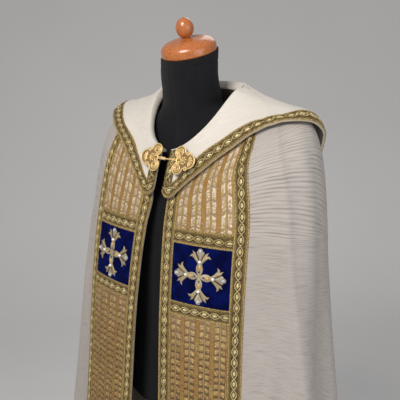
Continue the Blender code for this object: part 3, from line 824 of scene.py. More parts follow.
def collar_half(side, rows, lift):
    """Points of one half, and how far down each lies.

    Rows up to 1 are shares of the way down to the edge galloon; what they have
    above 1 is metres of the galloon, measured along the cloth.
    """
    half = cloth[side]
    near, share = collar_columns()
    edge = smooth_curve(share, COLLAR_EDGE[:, 0], COLLAR_EDGE[:, 1])
    edge = edge - TIP_ROUNDING * np.clip(1 - (near + share) / TIP_REACH, 0.0, 1.0) ** 2
    if side < 0:
        edge = edge + SHOULDER_DROP * np.exp(-(((share - SHOULDER_MIDDLE) / SHOULDER_SPREAD) ** 2))
    falls = np.linspace(0.0, 1.0, 61)[:, None] * edge

    def reach_at(fall):
        start = np.interp(fall, half.falls, half.collar_start) + near
        return start + share * (half.total_at(fall) - start)

    lengths = step_lengths(half.place(falls, reach_at(falls)))
    down = np.vstack([np.zeros(len(edge)), np.cumsum(lengths, axis=0)]).T
    band_top = down[:, -1:] - GALLOON_WIDTH
    wanted = np.where(rows <= 1.0, band_top * np.minimum(rows, 1.0), band_top + (rows - 1.0))
    fall = by_row(wanted, down, np.ascontiguousarray(falls.T)).T
    return half.place(fall, reach_at(fall), collar_lift(share) + lift), wanted.T


def whole_collar(rows, lift):
    """Both halves as one grid, from the left front edge round to the right."""
    halves = (collar_half(side, rows, lift) for side in SIDES)
    return [np.concatenate([left, right[:, -2::-1]], axis=1) for left, right in zip(*halves)]


def round_length(points):
    """Distance along each row from its middle column."""
    along = np.hstack([np.zeros((len(points), 1)), np.cumsum(step_lengths(points, 1), axis=1)])
    return along - along[:, points.shape[1] // 2, None]


def make_collar():
    """The collar's two faces with a rounded turned edge between them."""
    rows = np.concatenate([np.linspace(0.0, 1.0, 34), 1.0 + np.linspace(0.0, GALLOON_WIDTH, 8)[1:]])
    inner, down = whole_collar(rows, 0.0)
    outer, _ = whole_collar(rows, COLLAR_CLOTH)
    uv = metres(down[-1:] - down, round_length(outer))[..., ::-1]
    piece = Piece()
    piece.shell(inner, outer, uv, (0, 1, 2))
    materials = (COLLAR_BROCADE_PAINTED_LIGHT, LINING, EDGE_SATIN)
    return piece.make("collar_cloth", materials, "cream_brocade", ("collar",), 50)


def make_neck_binding():
    """A bias binding that rolls over the neckline and closes cope and collar.

    It is an oval carried round the neckline, wide enough to hold both edges.
    """
    near, share = collar_columns()
    turn = full_turn(20)
    rings = []
    for half in cloth.values():
        start = half.collar_start[0] + near
        reach = start + share * (half.total[0] - start)
        half_width = (collar_lift(share) + COLLAR_CLOTH) / 2
        low, high = half.place(0 * reach, reach), half.place(0 * reach, reach, 1e-3)
        out = unit(high - low)
        down = half.place(0.004 + 0 * reach, half.total_at(0.004) * reach / half.total[0]) - low
        up = -unit(down - out * np.sum(down * out, axis=-1, keepdims=True))
        middle = low + out * half_width[:, None] + up * 0.0006
        swell = (half_width + 0.0007)[:, None, None]
        rings.append(
            middle[:, None] + swell * out[:, None] * np.cos(turn)[None, :, None]
            + 0.0034 * up[:, None] * np.sin(turn)[None, :, None]
        )
    ring = np.concatenate([rings[0], rings[1][-2::-1]])
    ends = [np.broadcast_to(r.mean(axis=0), r.shape)[None] for r in (ring[0], ring[-1])]
    ring = np.concatenate([ends[0], ring, ends[1]])
    run = running(step_lengths(ring[:, 5]))[:, None]
    piece = Piece()
    uv = metres(run, np.linspace(0.0, 0.03, 21)[None, :])
    piece.skin(ring, uv)
    return piece.make("neck_binding", (COLLAR_BROCADE_PAINTED_LIGHT,), "cream_brocade", (), 60)


body = make_body()
collar = make_collar()
binding = make_neck_binding()


# Galloons -------------------------------------------------------------------
class Ribbon:
    """A strip of surface with its own coordinates.

    along is metres down its middle, across is metres from its middle, and
    height is metres out of it.
    """

    def __init__(self, points, width, outward):
        self.width = width
        self.lengths = running(step_lengths(points[:, points.shape[1] // 2]))
        self.length = self.lengths[-1]
        down, round_ = np.gradient(points, axis=0), np.gradient(points, axis=1)
        self.table = np.concatenate([points, outward * unit(np.cross(down, round_))], axis=-1)

    def place(self, along, across, height):
        """Points on the strip."""
        along, across, height = np.broadcast_arrays(along, across, height)
        rows, columns = self.table.shape[:2]
        row = np.interp(along, self.lengths, np.arange(rows))
        column = (across / self.width + 0.5) * (columns - 1)
        found = between(self.table, row, column)
        return found[..., :3] + unit(found[..., 3:]) * height[..., None]


def cord_along(piece, ribbon, along, across, height, radius, kind, sides=7):
    """A round cord laid on a ribbon: circles across its path, closed at its ends."""
    turn = full_turn(sides)
    grow = np.ones(along.shape)
    grow[[0, -1]] = 0.0
    radius = radius * grow[:, None]
    slope = np.gradient(across, along)[:, None]
    square = 1 / np.sqrt(1 + slope**2)
    side_step = radius * np.cos(turn)
    points = ribbon.place(
        along[:, None] - side_step * slope * square,
        across[:, None] + side_step * square,
        height + radius * np.sin(turn),
    )
    run = running(np.hypot(np.diff(along), np.diff(across)))[:, None]
    round_ = np.linspace(0.0, 1.0, sides + 1)[None, :]
    piece.skin(points, metres(round_ * PLY_TURN, run), kind)


def beads_along(piece, ribbon, along, length, width, height, base, kind):
    """Domed almonds at each place along: pointed ovals under a rounded top."""
    rings, sides = 4, 12
    turn = full_turn(sides)[None, :]
    rise = np.linspace(0.0, 1.0, rings + 1)[:, None]
    size = np.cos(rise * math.pi / 2)
    a = size * length / 2 * np.cos(turn)
    b = size * width / 2 * np.sin(turn) * (1 - 0.35 * np.abs(np.cos(turn)))
    h = base + height * np.sin(rise * math.pi / 2) + 0 * a
    along = along[:, None, None]
    under = ribbon.place(along + 0 * a[:1], 0.0, base - 0.0002)
    points = np.concatenate([under, ribbon.place(along + a, b, h)], axis=1)
    rows = np.concatenate([[0.0], np.linspace(0.0, 1.0, rings + 1)])[:, None]
    uv = metres(np.linspace(0.0, 1.0, sides + 1)[None, :] * length, rows * width)
    piece.skin(points, uv, kind)


def woven_strip(piece, ribbon):
    """A galloon's ground: a thin closed strip, raised along its satin edges."""
    half = ribbon.width / 2
    along = np.linspace(0.0, ribbon.length, max(int(ribbon.length / 0.006), 4))[:, None]
    across = np.array((0.0, 0.4, 0.77, 0.82, 0.90, 0.98, 1.0))
    across = np.concatenate([-across[:0:-1], across])
    rise = np.array((0.3, 0.3, 0.3, 1.5, 2.0, 1.5, 0.0))
    rise = np.concatenate([rise[:0:-1], rise])
    top = ribbon.place(along, across * half, 0.0008 * rise + 0.0002)
    under = ribbon.place(along, across * half, -0.0001)
    piece.shell(under, top, metres(across * half + 0 * along, along + 0 * across), (0, 0, 0))


def laid_cords(piece, ribbon, phase):
    """A galloon's two crossing cords, its lace and its almonds.

    The cords follow a cosine about the middle, half a wave apart, and cross
    between the almonds.
    """
    half, end = ribbon.width / 2, ribbon.length
    run = np.linspace(0.0006, end - 0.0006, max(int(end / 0.0018), 12))
    angle = math.pi * (run + phase) / BEAD_PITCH
    for turned in (+1, -1):
        lap = 0.0011 + 0.00035 * turned * np.sin(angle)
        sway = turned * CORD_SWAY * np.cos(angle)
        cord_along(piece, ribbon, run, sway, lap[:, None], 0.00115, 1)
    coarse = np.linspace(0.0006, end - 0.0006, max(int(end / 0.005), 6))
    for place in (-0.72, 0.72):
        cord_along(piece, ribbon, coarse, 0 * coarse + place * half, 0.0007, 0.0005, 2, sides=6)
    lace = 0.0013 * np.abs(np.sin(math.pi * run / 0.0060)) - 0.0006
    for turned in (+1, -1):
        cord_along(piece, ribbon, run, turned * (0.60 * half + lace), 0.0007, 0.00045, 2, sides=5)
    first = math.ceil((phase + 0.004) / BEAD_PITCH) * BEAD_PITCH - phase
    beads = np.arange(first, end - 0.004, BEAD_PITCH)
    beads_along(piece, ribbon, beads, 0.0108, 0.0066, 0.0023, 0.0006, 3)


def make_braid(name, node, ribbon, phase=0.0):
    """One galloon: its woven strip, and its cords and almonds as a piece on it."""
    ground, cords = Piece(), Piece()
    woven_strip(ground, ribbon)
    laid_cords(cords, ribbon, phase)
    strip = ground.make(f"{name}_braid", GALLOON, "gold_galloon", (node,), 60)
    laid = cords.make(f"{name}_cords", GALLOON, "gold_galloon", (), 60)


def thread_twist():
    """Twisted gold thread: slanting plies round a cord, with uneven tops; its Shade is painted
    highlight on the tops and painted shade between the plies.
    """
    inputs = {"Cord place": (0.0, 0.0, 0.0)}
    group, given, out = new_group("thread twist", inputs, ("Height", "Shade"))
    around, along, _ = split(group, given["Cord place"])
    wave = sine((along + around) * (1 / PLY_TURN) * (2 * math.pi * 3))
    uneven = noise(group, given["Cord place"], 500.0, 2.0)
    link(group, wave + uneven * 0.6, out["Height"])
    # Shade follows the relief: painted shade between the plies, painted highlight on the high tops.
    link(group, wave * 0.3 + uneven, out["Shade"])
    return group


THREAD_TWIST = thread_twist()


def gold_cord(name, light, dark, metallic, roughness):
    """Twisted gold thread, darker between its plies as painted shade and lighter on their tops as
    painted highlight.
    """
    made, tree, shader = finish(name, light, roughness, metallic, specular_ior_level=0.6)
    twist = use_group(tree, THREAD_TWIST, cord_place=uv_of(tree))
    aged = use_group(tree, HANDLING, place=object_place(tree), scale=24.0)["Mask"]
    # Painted shade and highlight: the colour follows the twist's relief, darker between the plies.
    colour = blend(tree, ramp(tree, twist["Shade"], 0.2, 0.8), dark, light)
    colour = blend(tree, aged * 0.35, colour, dark)
    rough = ramp(tree, twist["Shade"], 0.1, 0.9, roughness + 0.15, roughness - 0.08)
    wire(tree, shader, colour, rough, bump(tree, twist["Height"], 0.00025, 0.7))
    return made


def gold_ground():
    """The galloon's woven ground: a small zigzag of gold thread over olive, painted almost black in
    its low places as painted shade.
    """
    made, tree, shader = finish("gold ground", (0.45, 0.33, 0.12), 0.55, 0.2)
    place = uv_of(tree)
    across, along, _ = split(tree, place)
    zigzag = (across * 1000.0).apply("PINGPONG", 1.6)
    picks = sine((along * 1000.0 + zigzag) * (2 * math.pi / 1.15))
    uneven = noise(tree, place, 330.0, 2.0)
    height = picks * 0.25 + uneven * 1.6
    edge = ramp(tree, abs(across), 0.0107, 0.0111)
    # Painted shade: the woven colour follows the height, almost black in the low places.
    woven_with_painted_shade = blend(tree, ramp(tree, height, 0.55, 1.15), (0.012, 0.007, 0.002), (0.25, 0.165, 0.052))
    satin = blend(tree, ramp(tree, uneven, 0.35, 0.65), (0.19, 0.12, 0.032), (0.55, 0.40, 0.15))
    rough = ramp(tree, edge, 0.0, 1.0, 0.65, 0.45)
    wire(tree, shader, blend(tree, edge, woven_with_painted_shade, satin), rough, bump(tree, height, 0.0007, 0.7))
    return made


GALLOON = (
    gold_ground(),
    gold_cord("gold cord", (0.92, 0.76, 0.38), (0.24, 0.15, 0.04), 0.45, 0.34),
    gold_cord("gold lace thread", (0.55, 0.41, 0.15), (0.16, 0.10, 0.03), 0.4, 0.45),
    gold_cord("pale gold almond", (1.0, 0.90, 0.56), (0.62, 0.47, 0.18), 0.4, 0.28),
)


def upright_ribbon(side, inner, lift):
    """The ribbon of a galloon down one front, its middle a set way from the edge."""
    half = cloth[side]
    fall = np.linspace(ORPHREY_START, HEM_FALL - 0.0005, 330)[:, None]
    middle = inner + GALLOON_WIDTH / 2
    across = np.linspace(-0.5, 0.5, 7)[None, :] * GALLOON_WIDTH
    points = half.place(fall, half.edge_at(fall) + middle + across, lift)
    return Ribbon(points, GALLOON_WIDTH, side)


def make_uprights():
    """The four long galloons of the two orphreys."""
    for side, label in SIDES.items():
        for place, start in (("inner", 0.0), ("outer", ORPHREY_WIDTH - GALLOON_WIDTH)):
            ribbon = upright_ribbon(side, start, ON_CLOTH)
            name = f"orphrey_{label}_{place}_galloon"
            make_braid(name, name, ribbon)


def level_ribbon(side, top, bottom, lift):
    """The ribbon of a bar across one orphrey, from inner to outer galloon."""
    half = cloth[side]
    width = bottom - top
    beyond = np.linspace(GALLOON_WIDTH, ORPHREY_WIDTH - GALLOON_WIDTH, 25)[:, None]
    fall = (top + bottom) / 2 + np.linspace(-0.5, 0.5, 7)[None, :] * width
    points = half.place(fall + 0 * beyond, half.edge_at(fall) + beyond, lift)
    return Ribbon(points, width, -side)


def make_bars():
    """The bars above and below each velvet panel."""
    for side, label in SIDES.items():
        for place, top, bottom in (
            ("upper", BAR_TOP, PANEL_TOP), ("lower", PANEL_BOTTOM, BAR_BOTTOM),
        ):
            ribbon = level_ribbon(side, top, bottom, ON_CLOTH)
            name = f"orphrey_{label}_{place}_bar"
            make_braid(name, name, ribbon, BEAD_PITCH * 0.42)


def make_collar_braids():
    """The galloon round the collar's outer edge and up its short fronts."""
    rows = 1.0 + np.linspace(0.0, GALLOON_WIDTH, 7)
    edge, _ = whole_collar(rows, ON_COLLAR)
    ribbon = Ribbon(edge.transpose(1, 0, 2), GALLOON_WIDTH, -1)
    make_braid("collar_edge", "collar_edge_galloon", ribbon)
    near, _ = collar_columns()
    front = int(np.sum(near < FRONT_BAND_WIDTH)) + 1
    for side, label in SIDES.items():
        points, _ = collar_half(side, np.linspace(0.0, 0.995, 40), ON_COLLAR)
        ribbon = Ribbon(points[:, :front], FRONT_BAND_WIDTH, side)
        node = f"collar_front_galloon_{label}"
        make_braid(f"collar_front_{label}", node, ribbon)


make_uprights()
make_bars()
make_collar_braids()


# Orphrey cloths -------------------------------------------------------------
def lame_stripe():
    """Lamé in stripes: ochre satin, then two files of silver dashes parted by a line.

    A place is measured from the middle of the nearest satin stripe.  The rows
    of dashes slant and drift a little, each dash has its own lightness, and
    the stripes are paler, with longer dashes, towards the top.
    """
    made, tree, shader = finish("striped lame", (0.62, 0.45, 0.25), 0.5, 0.12)
    place = uv_of(tree)
    across, along, _ = split(tree, place)
    repeat = across / STRIPE_REPEAT
    whole = (repeat + 0.5).apply("FLOOR")
    from_satin = abs(repeat - whole) * STRIPE_REPEAT
    left = (repeat - whole).apply("GREATER_THAN", 0.0)
    half_satin = SATIN_WIDTH / 2
    satin = ramp(tree, from_satin, half_satin + 0.0002, half_satin - 0.0002)
    line = ramp(tree, from_satin, STRIPE_REPEAT / 2 - 0.0016, STRIPE_REPEAT / 2 - 0.0011)
    drift = noise(tree, place, 30.0, 2.0) * 0.009
    rows = (along + (from_satin * 0.18 + drift)) / DASH_ROW
    down_row = rows.apply("FRACT")
    in_row = abs(down_row - 0.5)
    pale = ramp(tree, along, 0.44, 0.14)
    thin_gap, wide_gap = ramp(tree, in_row, 0.50, 0.34), ramp(tree, in_row, 0.50, 0.18)
    dash = thin_gap * pale + wide_gap * (1.0 - pale)
    # lit is painted shade down each dash: full at its top, darker towards its lower end.
    lit = ramp(tree, down_row, 0.85, 0.15)
    near_line = STRIPE_REPEAT / 2 - 0.0014 - from_satin
    to_sides = near_line.apply("MINIMUM", from_satin - half_satin)
    dash = dash * ramp(tree, to_sides, 0.0002, 0.0011)
    lightness = tree.nodes.new("ShaderNodeTexWhiteNoise")
    lightness.noise_dimensions = "3D"
    key = tree.nodes.new("ShaderNodeCombineXYZ")
    for value, socket in zip((whole, rows.apply("FLOOR"), left), key.inputs):
        link(tree, value, socket)
    link(tree, key.outputs[0], lightness.inputs["Vector"])
    threads = sine(along * (2 * math.pi * WEFT_PER_METRE))
    uneven = noise(tree, place, 1.0, 2.0, stretch=(170.0, 620.0, 1.0))
    broad = noise(tree, place, 26.0, 2.0)
    flecks = noise(tree, place, 1.0, 2.0, stretch=(210.0, 330.0, 1.0))
    ochre = blend(tree, uneven, (0.20, 0.095, 0.015), (0.48, 0.26, 0.055))
    ochre = blend(tree, ramp(tree, broad, 0.42, 0.70), ochre, (0.38, 0.26, 0.06))
    umber = blend(tree, uneven, (0.055, 0.024, 0.014), (0.15, 0.072, 0.030))
    tan = blend(tree, uneven, (0.24, 0.14, 0.065), (0.46, 0.31, 0.17))
    ground = blend(tree, pale, umber, tan)
    olive = blend(tree, uneven, (0.24, 0.16, 0.035), (0.52, 0.37, 0.11))
    gilt = blend(tree, lightness.outputs["Value"], (0.26, 0.135, 0.040), (0.54, 0.33, 0.115))
    silver = blend(tree, lightness.outputs["Value"], (0.52, 0.37, 0.26), (0.76, 0.62, 0.46))
    silver = blend(tree, pale, gilt, silver)
    # Painted shade: each dash's lower end is mixed halfway to the ground colour.
    silver = blend(tree, lit, blend(tree, 0.5, silver, ground), silver)
    # Painted highlights: random gold glints laid on the dashes.
    glint = blend(tree, pale, (1.0, 0.70, 0.28), (0.90, 0.78, 0.58))
    silver = blend(tree, ramp(tree, uneven, 0.52, 0.70), silver, glint)
    silver = blend(tree, ramp(tree, flecks, 0.50, 0.64), silver, olive)
    ochre = blend(tree, ramp(tree, flecks, 0.54, 0.68), ochre, ground)
    colour = blend(tree, dash, ground, silver)
    colour = blend(tree, line, colour, olive)
    colour = blend(tree, satin, colour, ochre)
    height = dash * 1.6 + line + satin * 0.8 + threads * 0.22 + uneven * 1.4
    rough = ramp(tree, uneven, 0.2, 0.8, 0.62, 0.40)
    wire(tree, shader, colour, rough, bump(tree, height, 0.0009, 0.85))
    return made


def velvet():
    """Cut pile: deep blue with a light rim, pressed a little here and there."""
    made, tree, shader = finish(
        "blue velvet", (0.004, 0.008, 0.08), 0.85, sheen_weight=0.10, sheen_roughness=0.35,
        specular_ior_level=0.05,
    )
    shader.inputs["Sheen Tint"].default_value = (0.02, 0.07, 0.60, 1.0)
    place = uv_of(tree)
    pressed = noise(tree, place, 34.0, 3.0)
    pile = noise(tree, place, 1500.0, 1.0)
    full = ramp(tree, pressed, 0.38, 0.66)
    colour = blend(tree, full, (0.0006, 0.0018, 0.030), (0.0012, 0.0050, 0.075))
    wire(tree, shader, colour, None, bump(tree, pile + pressed * 3.0, 0.0006, 0.55))
    return made


LAME = lame_stripe()
VELVET = velvet()


def orphrey_patch(side, top, bottom, height, rows):
    """A thin sheet between the galloons: points, thickness and UV.

    Its top swells softly towards the middle and dips at the edges, where the
    galloons hold it down.
    """
    half = cloth[side]
    fall = np.linspace(top, bottom, rows)[:, None]
    start = GALLOON_WIDTH + CLEARANCE
    beyond = np.linspace(start, ORPHREY_WIDTH - start, 33)[None, :] + 0 * fall
    inwards = np.minimum(beyond - beyond[:, :1], beyond[:, -1:] - beyond)
    ends = np.minimum(fall - top, bottom - fall) + 0 * beyond
    swell = 1 - np.exp(-np.minimum(inwards, ends) / 0.004)
    reach = half.edge_at(fall) + beyond
    low = half.place(fall, reach, ON_CLOTH)
    high = half.place(fall, reach, ON_CLOTH + 0.0004 + height * swell)
    middle = ORPHREY_WIDTH / 2
    return low, high, metres(beyond - middle, fall + 0 * beyond)


def make_fields():
    """The striped fields above and below the velvet, and the velvet panels."""
    gap = 0.0002
    for side, label in SIDES.items():
        for place, top, bottom, height, rows, material, slot in (
            ("upper_field", ORPHREY_START, BAR_TOP, 0.0006, 45, LAME, "gold_stripe"),
            ("velvet_panel", PANEL_TOP, PANEL_BOTTOM, 0.0016, 49, VELVET, "blue_velvet"),
            ("lower_field", BAR_BOTTOM, HEM_FALL, 0.0006, 260, LAME, "gold_stripe"),
        ):
            patch = orphrey_patch(side, top + gap, bottom - gap, height, rows)
            piece = Piece()
            piece.shell(*patch, (0, 0, 0))
            node = f"orphrey_{label}_{place}"
            cloth_piece = piece.make(f"{node}_cloth", (material,), slot, (node,), 60)


make_fields()


# Embroidered crosses --------------------------------------------------------
# Each leaf of an arm, in mm: its middle line as (out, aside) places, and its
# widths there.  Out is away from the cross's middle.
PETALS = (
    (((24, 2.6), (29, 4.4), (34, 8.0), (38.0, 12.5), (39.6, 17.5), (37.0, 23.0)),
     (2.6, 5.4, 6.8, 6.6, 5.0, 0.5)),
    (((28, 2.4), (33, 5.6), (38.5, 9.2), (43.5, 12.6), (48.5, 17.0)),
     (2.0, 4.6, 6.2, 5.2, 0.5)),
)
FAN = (((28.5, 0.0), (34, 0.0), (40, 0.0), (45, 0.0), (49.0, 0.0)), (1.6, 4.6, 10.4, 15.4, 15.8))
BULB = (
    ((4.0, 0.0), (8, 0.0), (13, 0.0), (19, 0.0), (25, 0.0), (30, 0.0)),
    (3.6, 8.8, 11.8, 11.4, 8.4, 6.4),
)
# SLIT: a dark leaf laid in the slit between fan and petal, coloured as painted shadow.
SLIT = (((31.0, 1.8), (36, 4.4), (41, 7.4), (46.5, 10.6)), (0.6, 2.0, 2.2, 0.5))


def leaf(piece, panel, turn, mirror, line, widths, base, height, kind, count=26, columns=9):
    """A padded leaf: its width follows a curve, and across it is a half ellipse.

    The leaf's own (out, aside) places are turned about the cross's middle,
    then laid on the panel.
    """
    line, widths = np.array(line) / 1000, np.array(widths) / 1000
    at = np.linspace(0.0, len(line) - 1.0, count)
    knots = np.arange(len(line), dtype=float)
    out, aside = (smooth_curve(at, knots, line[:, k]) for k in (0, 1))
    width = np.maximum(smooth_curve(at, knots, widths), 0.0003)
    run_out, run_aside = np.gradient(out), np.gradient(aside)
    size = np.hypot(run_out, run_aside)
    t = np.linspace(-1.0, 1.0, columns)[None, :]
    step = 0.5 * width[:, None] * t
    o = out[:, None] - step * (run_aside / size)[:, None]
    a = (aside[:, None] + step * (run_out / size)[:, None]) * mirror
    full = np.sqrt(np.clip(width / width.max(), 0.0, 1.0))[:, None]
    dome = base + height * full * np.sqrt(1 - (0.98 * t) ** 2)
    length = running(np.hypot(np.diff(out), np.diff(aside)))[:, None]
    uv = metres(step, length + 0 * step)
    spot = turned_place(o, a, turn)
    low, high = panel.place(*spot, 0 * dome - 0.0004), panel.place(*spot, dome)
    piece.shell(low, high, uv, (kind, kind, kind))


def turned_place(out, aside, turn):
    """Panel places, along and across, of a place on an arm turned by an angle."""
    cosine, sine = math.cos(turn), math.sin(turn)
    return PANEL_MIDDLE + out * cosine - aside * sine, out * sine + aside * cosine


def rim_cord(piece, panel, turn, outline, height, radius, kind):
    """A cord laid round a closed outline of (out, aside) places."""
    line = np.concatenate([outline, outline[:1]])
    out, aside = turned_place(line[:, 0], line[:, 1], turn)
    tube(piece, panel.place(out, aside, height), radius, kind)


def tube(piece, points, radius, kind, sides=7, closed=True):
    """A round tube through points; its circles stand across the path.

    An open tube is drawn to a point at both ends.
    """
    if closed:
        path = points[:-1]
        ahead, behind = np.roll(path, -1, axis=0), np.roll(path, 1, axis=0)
        along = unit(ahead - behind)
    else:
        path = points
        along = unit(np.gradient(path, axis=0))
    reference = np.broadcast_to(np.array((0.0, -1.0, 0.25)), along.shape)
    aside = unit(np.cross(along, reference))
    out = np.cross(aside, along)
    turn = full_turn(sides)[None, :, None]
    size = np.broadcast_to(np.asarray(radius, float), (len(path),)).copy()
    if not closed:
        size[[0, -1]] = 0.0
    ring = path[:, None] + size[:, None, None] * (
        aside[:, None] * np.cos(turn) + out[:, None] * np.sin(turn)
    )
    run = running(step_lengths(points))[:, None]
    uv = metres(np.linspace(0.0, 1.0, sides + 1)[None, :] * PLY_TURN, run)
    piece.skin(ring, uv, kind, closed)


def stone(piece, place, along, across, out, length, width, height, kind, sides=16, rings=6):
    """A domed oval stone: rings that close on the top like half an egg."""
    rise = np.linspace(-0.35, 1.0, rings + 1)[:, None]
    turn = full_turn(sides)[None, :]
    size = np.cos(rise * math.pi / 2)
    a, b = size * length / 2 * np.cos(turn), size * width / 2 * np.sin(turn)
    h = height * np.sin(rise * math.pi / 2) + 0 * a
    points = place + a[..., None] * along + b[..., None] * across + h[..., None] * out
    floor_ring = np.broadcast_to(points[:1].mean(axis=1, keepdims=True), points[:1].shape)
    points = np.concatenate([floor_ring, points])
    rows = np.linspace(0.0, length, rings + 2)[:, None]
    uv = metres(np.linspace(0.0, width, sides + 1)[None, :], rows)
    piece.skin(points, uv, kind)


def panel_stone(piece, panel, turn, out, base, length, width, height, kind, **more):
    """A stone set on an arm, its length along the arm."""
    spot = turned_place(np.array([out, out + 1e-4]), np.zeros(2), turn)
    here, onward = panel.place(*spot, base)
    outward = unit(panel.place(*spot, base + 1e-3)[0] - here)
    along = unit(onward - here)
    aside = np.cross(outward, along)
    stone(piece, here, along, aside, outward, length, width, height, kind, **more)


def oval(middle, length, width):
    """A closed ring of (out, aside) places."""
    turn = full_turn(28)
    return np.stack([middle + length / 2 * np.cos(turn), width / 2 * np.sin(turn)], axis=-1)


def satin_stitch(name, light, dark, metallic):
    """Padded satin stitch in metal thread: close slanting stitches over a pad."""
    made, tree, shader = finish(name, light, 0.38, metallic, specular_ior_level=0.6)
    place = uv_of(tree)
    across, along, _ = split(tree, place)
    stitches = sine((along + abs(across) * 0.7) * (2 * math.pi / STITCH))
    uneven = noise(tree, place, 380.0, 2.0)
    both = stitches * 0.35 + uneven
    # Painted shade: the colour follows the stitches' relief, darker in the grooves between stitches,
    # plus uneven thread tone.
    colour = blend(tree, ramp(tree, both, 0.15, 0.85), dark, light)
    rough = ramp(tree, both, 0.0, 1.0, 0.55, 0.3)
    wire(tree, shader, colour, rough, bump(tree, both, 0.0003, 0.7))
    return made


def gem(name, dark, light, scale, roughness, **constants):
    """A polished stone, clouded a little inside."""
    made, tree, shader = finish(name, light, roughness, **constants)
    cloud = noise(tree, object_place(tree), scale, 2.0)
    colour = blend(tree, ramp(tree, cloud, 0.35, 0.65), dark, light)
    wire(tree, shader, colour, ramp(tree, cloud, 0.3, 0.7, roughness, roughness + 0.06))
    return made


EMBROIDERY = (
    satin_stitch("old gold stitch", (0.62, 0.52, 0.31), (0.22, 0.155, 0.065), 0.35),
    satin_stitch("silver stitch", (0.60, 0.54, 0.40), (0.22, 0.175, 0.11), 0.35),
    gold_cord("couched cord", (0.92, 0.84, 0.62), (0.42, 0.32, 0.16), 0.5, 0.3),
    gem("crystal", (0.22, 0.27, 0.36), (0.88, 0.91, 0.95), 900.0, 0.04, coat_weight=1.0),
    gem("pearl", (0.86, 0.83, 0.79), (0.97, 0.95, 0.92), 500.0, 0.18, coat_weight=0.6),
    gem("amber", (0.50, 0.24, 0.05), (0.80, 0.52, 0.18), 420.0, 0.08, coat_weight=1.0),
    gem("dark stone", (0.02, 0.006, 0.008), (0.07, 0.02, 0.02), 500.0, 0.06, coat_weight=1.0),
    # Dark brown for the slits between fan and petals: painted shadow.
    satin_stitch("slit painted shadow", (0.10, 0.045, 0.025), (0.03, 0.012, 0.008), 0.0),
)
OLD_GOLD, SILVER, COUCHED, CRYSTAL, PEARL, AMBER, DARK, SLIT_SHADOW = range(8)

# Each row: place out along an arm, length, width, height above it, radius.
ARM_CORDS = (
    (0.0148, 0.0215, 0.0128, 0.0011, 0.0007),
    (0.0185, 0.0098, 0.0078, 0.0021, 0.0006),
    (0.0500, 0.0090, 0.0090, 0.0010, 0.0006),
)
# Each row: place out along an arm, height above it, length, width, height, kind.
ARM_STONES = (
    (0.0185, 0.0016, 0.0084, 0.0062, 0.0026, AMBER),
    (0.0095, 0.0014, 0.0040, 0.0040, 0.0020, DARK),
    (0.0290, 0.0018, 0.0062, 0.0062, 0.0036, PEARL),
)
END_STONE = (0.0500, 0.0014, 0.0066, 0.0066, 0.0032)
MIDDLE_STONE = (0.0, 0.0008, 0.0034, 0.0034, 0.0018)


def make_cross(side, label):
    """A cross of four flowered arms in padded stitch, set with stones."""
    half = cloth[side]
    fall = np.linspace(PANEL_TOP, PANEL_BOTTOM, 60)[:, None]
    width = ORPHREY_WIDTH - 2 * GALLOON_WIDTH
    beyond = np.linspace(GALLOON_WIDTH, ORPHREY_WIDTH - GALLOON_WIDTH, 61)[None, :]
    points = half.place(fall, half.edge_at(fall) + beyond, ON_CLOTH + 0.0020)
    panel = Ribbon(points, width, side)
    piece = Piece()
    for quarter in range(4):
        turn = quarter * math.pi / 2
        leaf(piece, panel, turn, 1, *FAN, 0.0, 0.0013, SILVER, columns=11)
        for mirror in (+1, -1):
            # The slits are dark leaves coloured as painted shadow.
            leaf(piece, panel, turn, mirror, *SLIT, 0.0013, 0.0009, SLIT_SHADOW, count=16, columns=5)
            for petal in PETALS:
                leaf(piece, panel, turn, mirror, *petal, 0.0, 0.0017, OLD_GOLD)
        leaf(piece, panel, turn, 1, *BULB, 0.0, 0.0018, SILVER, columns=11)
        for place, length, wide, height, radius in ARM_CORDS:
            rim_cord(piece, panel, turn, oval(place, length, wide), height, radius, COUCHED)
        for *where, kind in ARM_STONES:
            panel_stone(piece, panel, turn, *where, kind)
        panel_stone(piece, panel, turn, *END_STONE, CRYSTAL, sides=8, rings=4)
    for size in (0.0044, 0.0084):
        rim_cord(piece, panel, 0.0, oval(0.0, size, size), 0.0010, 0.0008, COUCHED)
    panel_stone(piece, panel, 0.0, *MIDDLE_STONE, AMBER)
    piece.make(f"orphrey_{label}_cross", EMBROIDERY, "clasp_gold", (), 50)


for side, label in SIDES.items():
    make_cross(side, label)


# Filigree clasp -------------------------------------------------------------
def clasp_place(side, x, y, z):
    """Points on a plate: x to its outer side, y up it, z out of it."""
    x, y, z = np.broadcast_arrays(x, y, z)
    rise, out = math.sin(CLASP_PITCH), math.cos(CLASP_PITCH)
    return np.stack([
        PLATE_CENTRES[side] + side * x, CLASP_Y + y * out - z * rise, PLATE_Z + y * rise + z * out,
    ], axis=-1)


def trefoil(inset):
    """Outline of three lobes round a small core, each lobe a circle."""
    angle = full_turn(180)
    reach = np.where(np.cos(angle) > -0.25, CORE_REACH - inset, TAIL_REACH)
    for degrees, lobe_reach, lobe_radius in LOBES:
        away = angle - math.radians(degrees)
        along, across = lobe_reach * np.cos(away), lobe_reach * np.sin(away)
        inside = (lobe_radius - inset) ** 2 - across**2
        hit = along + np.sqrt(np.maximum(inside, 0.0))
        reach = np.where((inside > 0) & (along > 0), np.maximum(reach, hit), reach)
    return reach * np.cos(angle), reach * np.sin(angle)


def lobe_place(degrees, reach, x, y):
    """Places in a lobe, x out along it, turned to the plate's own."""
    turn = math.radians(degrees)
    x = x + reach
    return x * math.cos(turn) - y * math.sin(turn), x * math.sin(turn) + y * math.cos(turn)


def clasp_tube(piece, side, x, y, z, radius, closed=False, sides=8):
    """A wire on a plate through places x, y."""
    tube(piece, clasp_place(side, x, y, z), radius, 0, sides, closed)


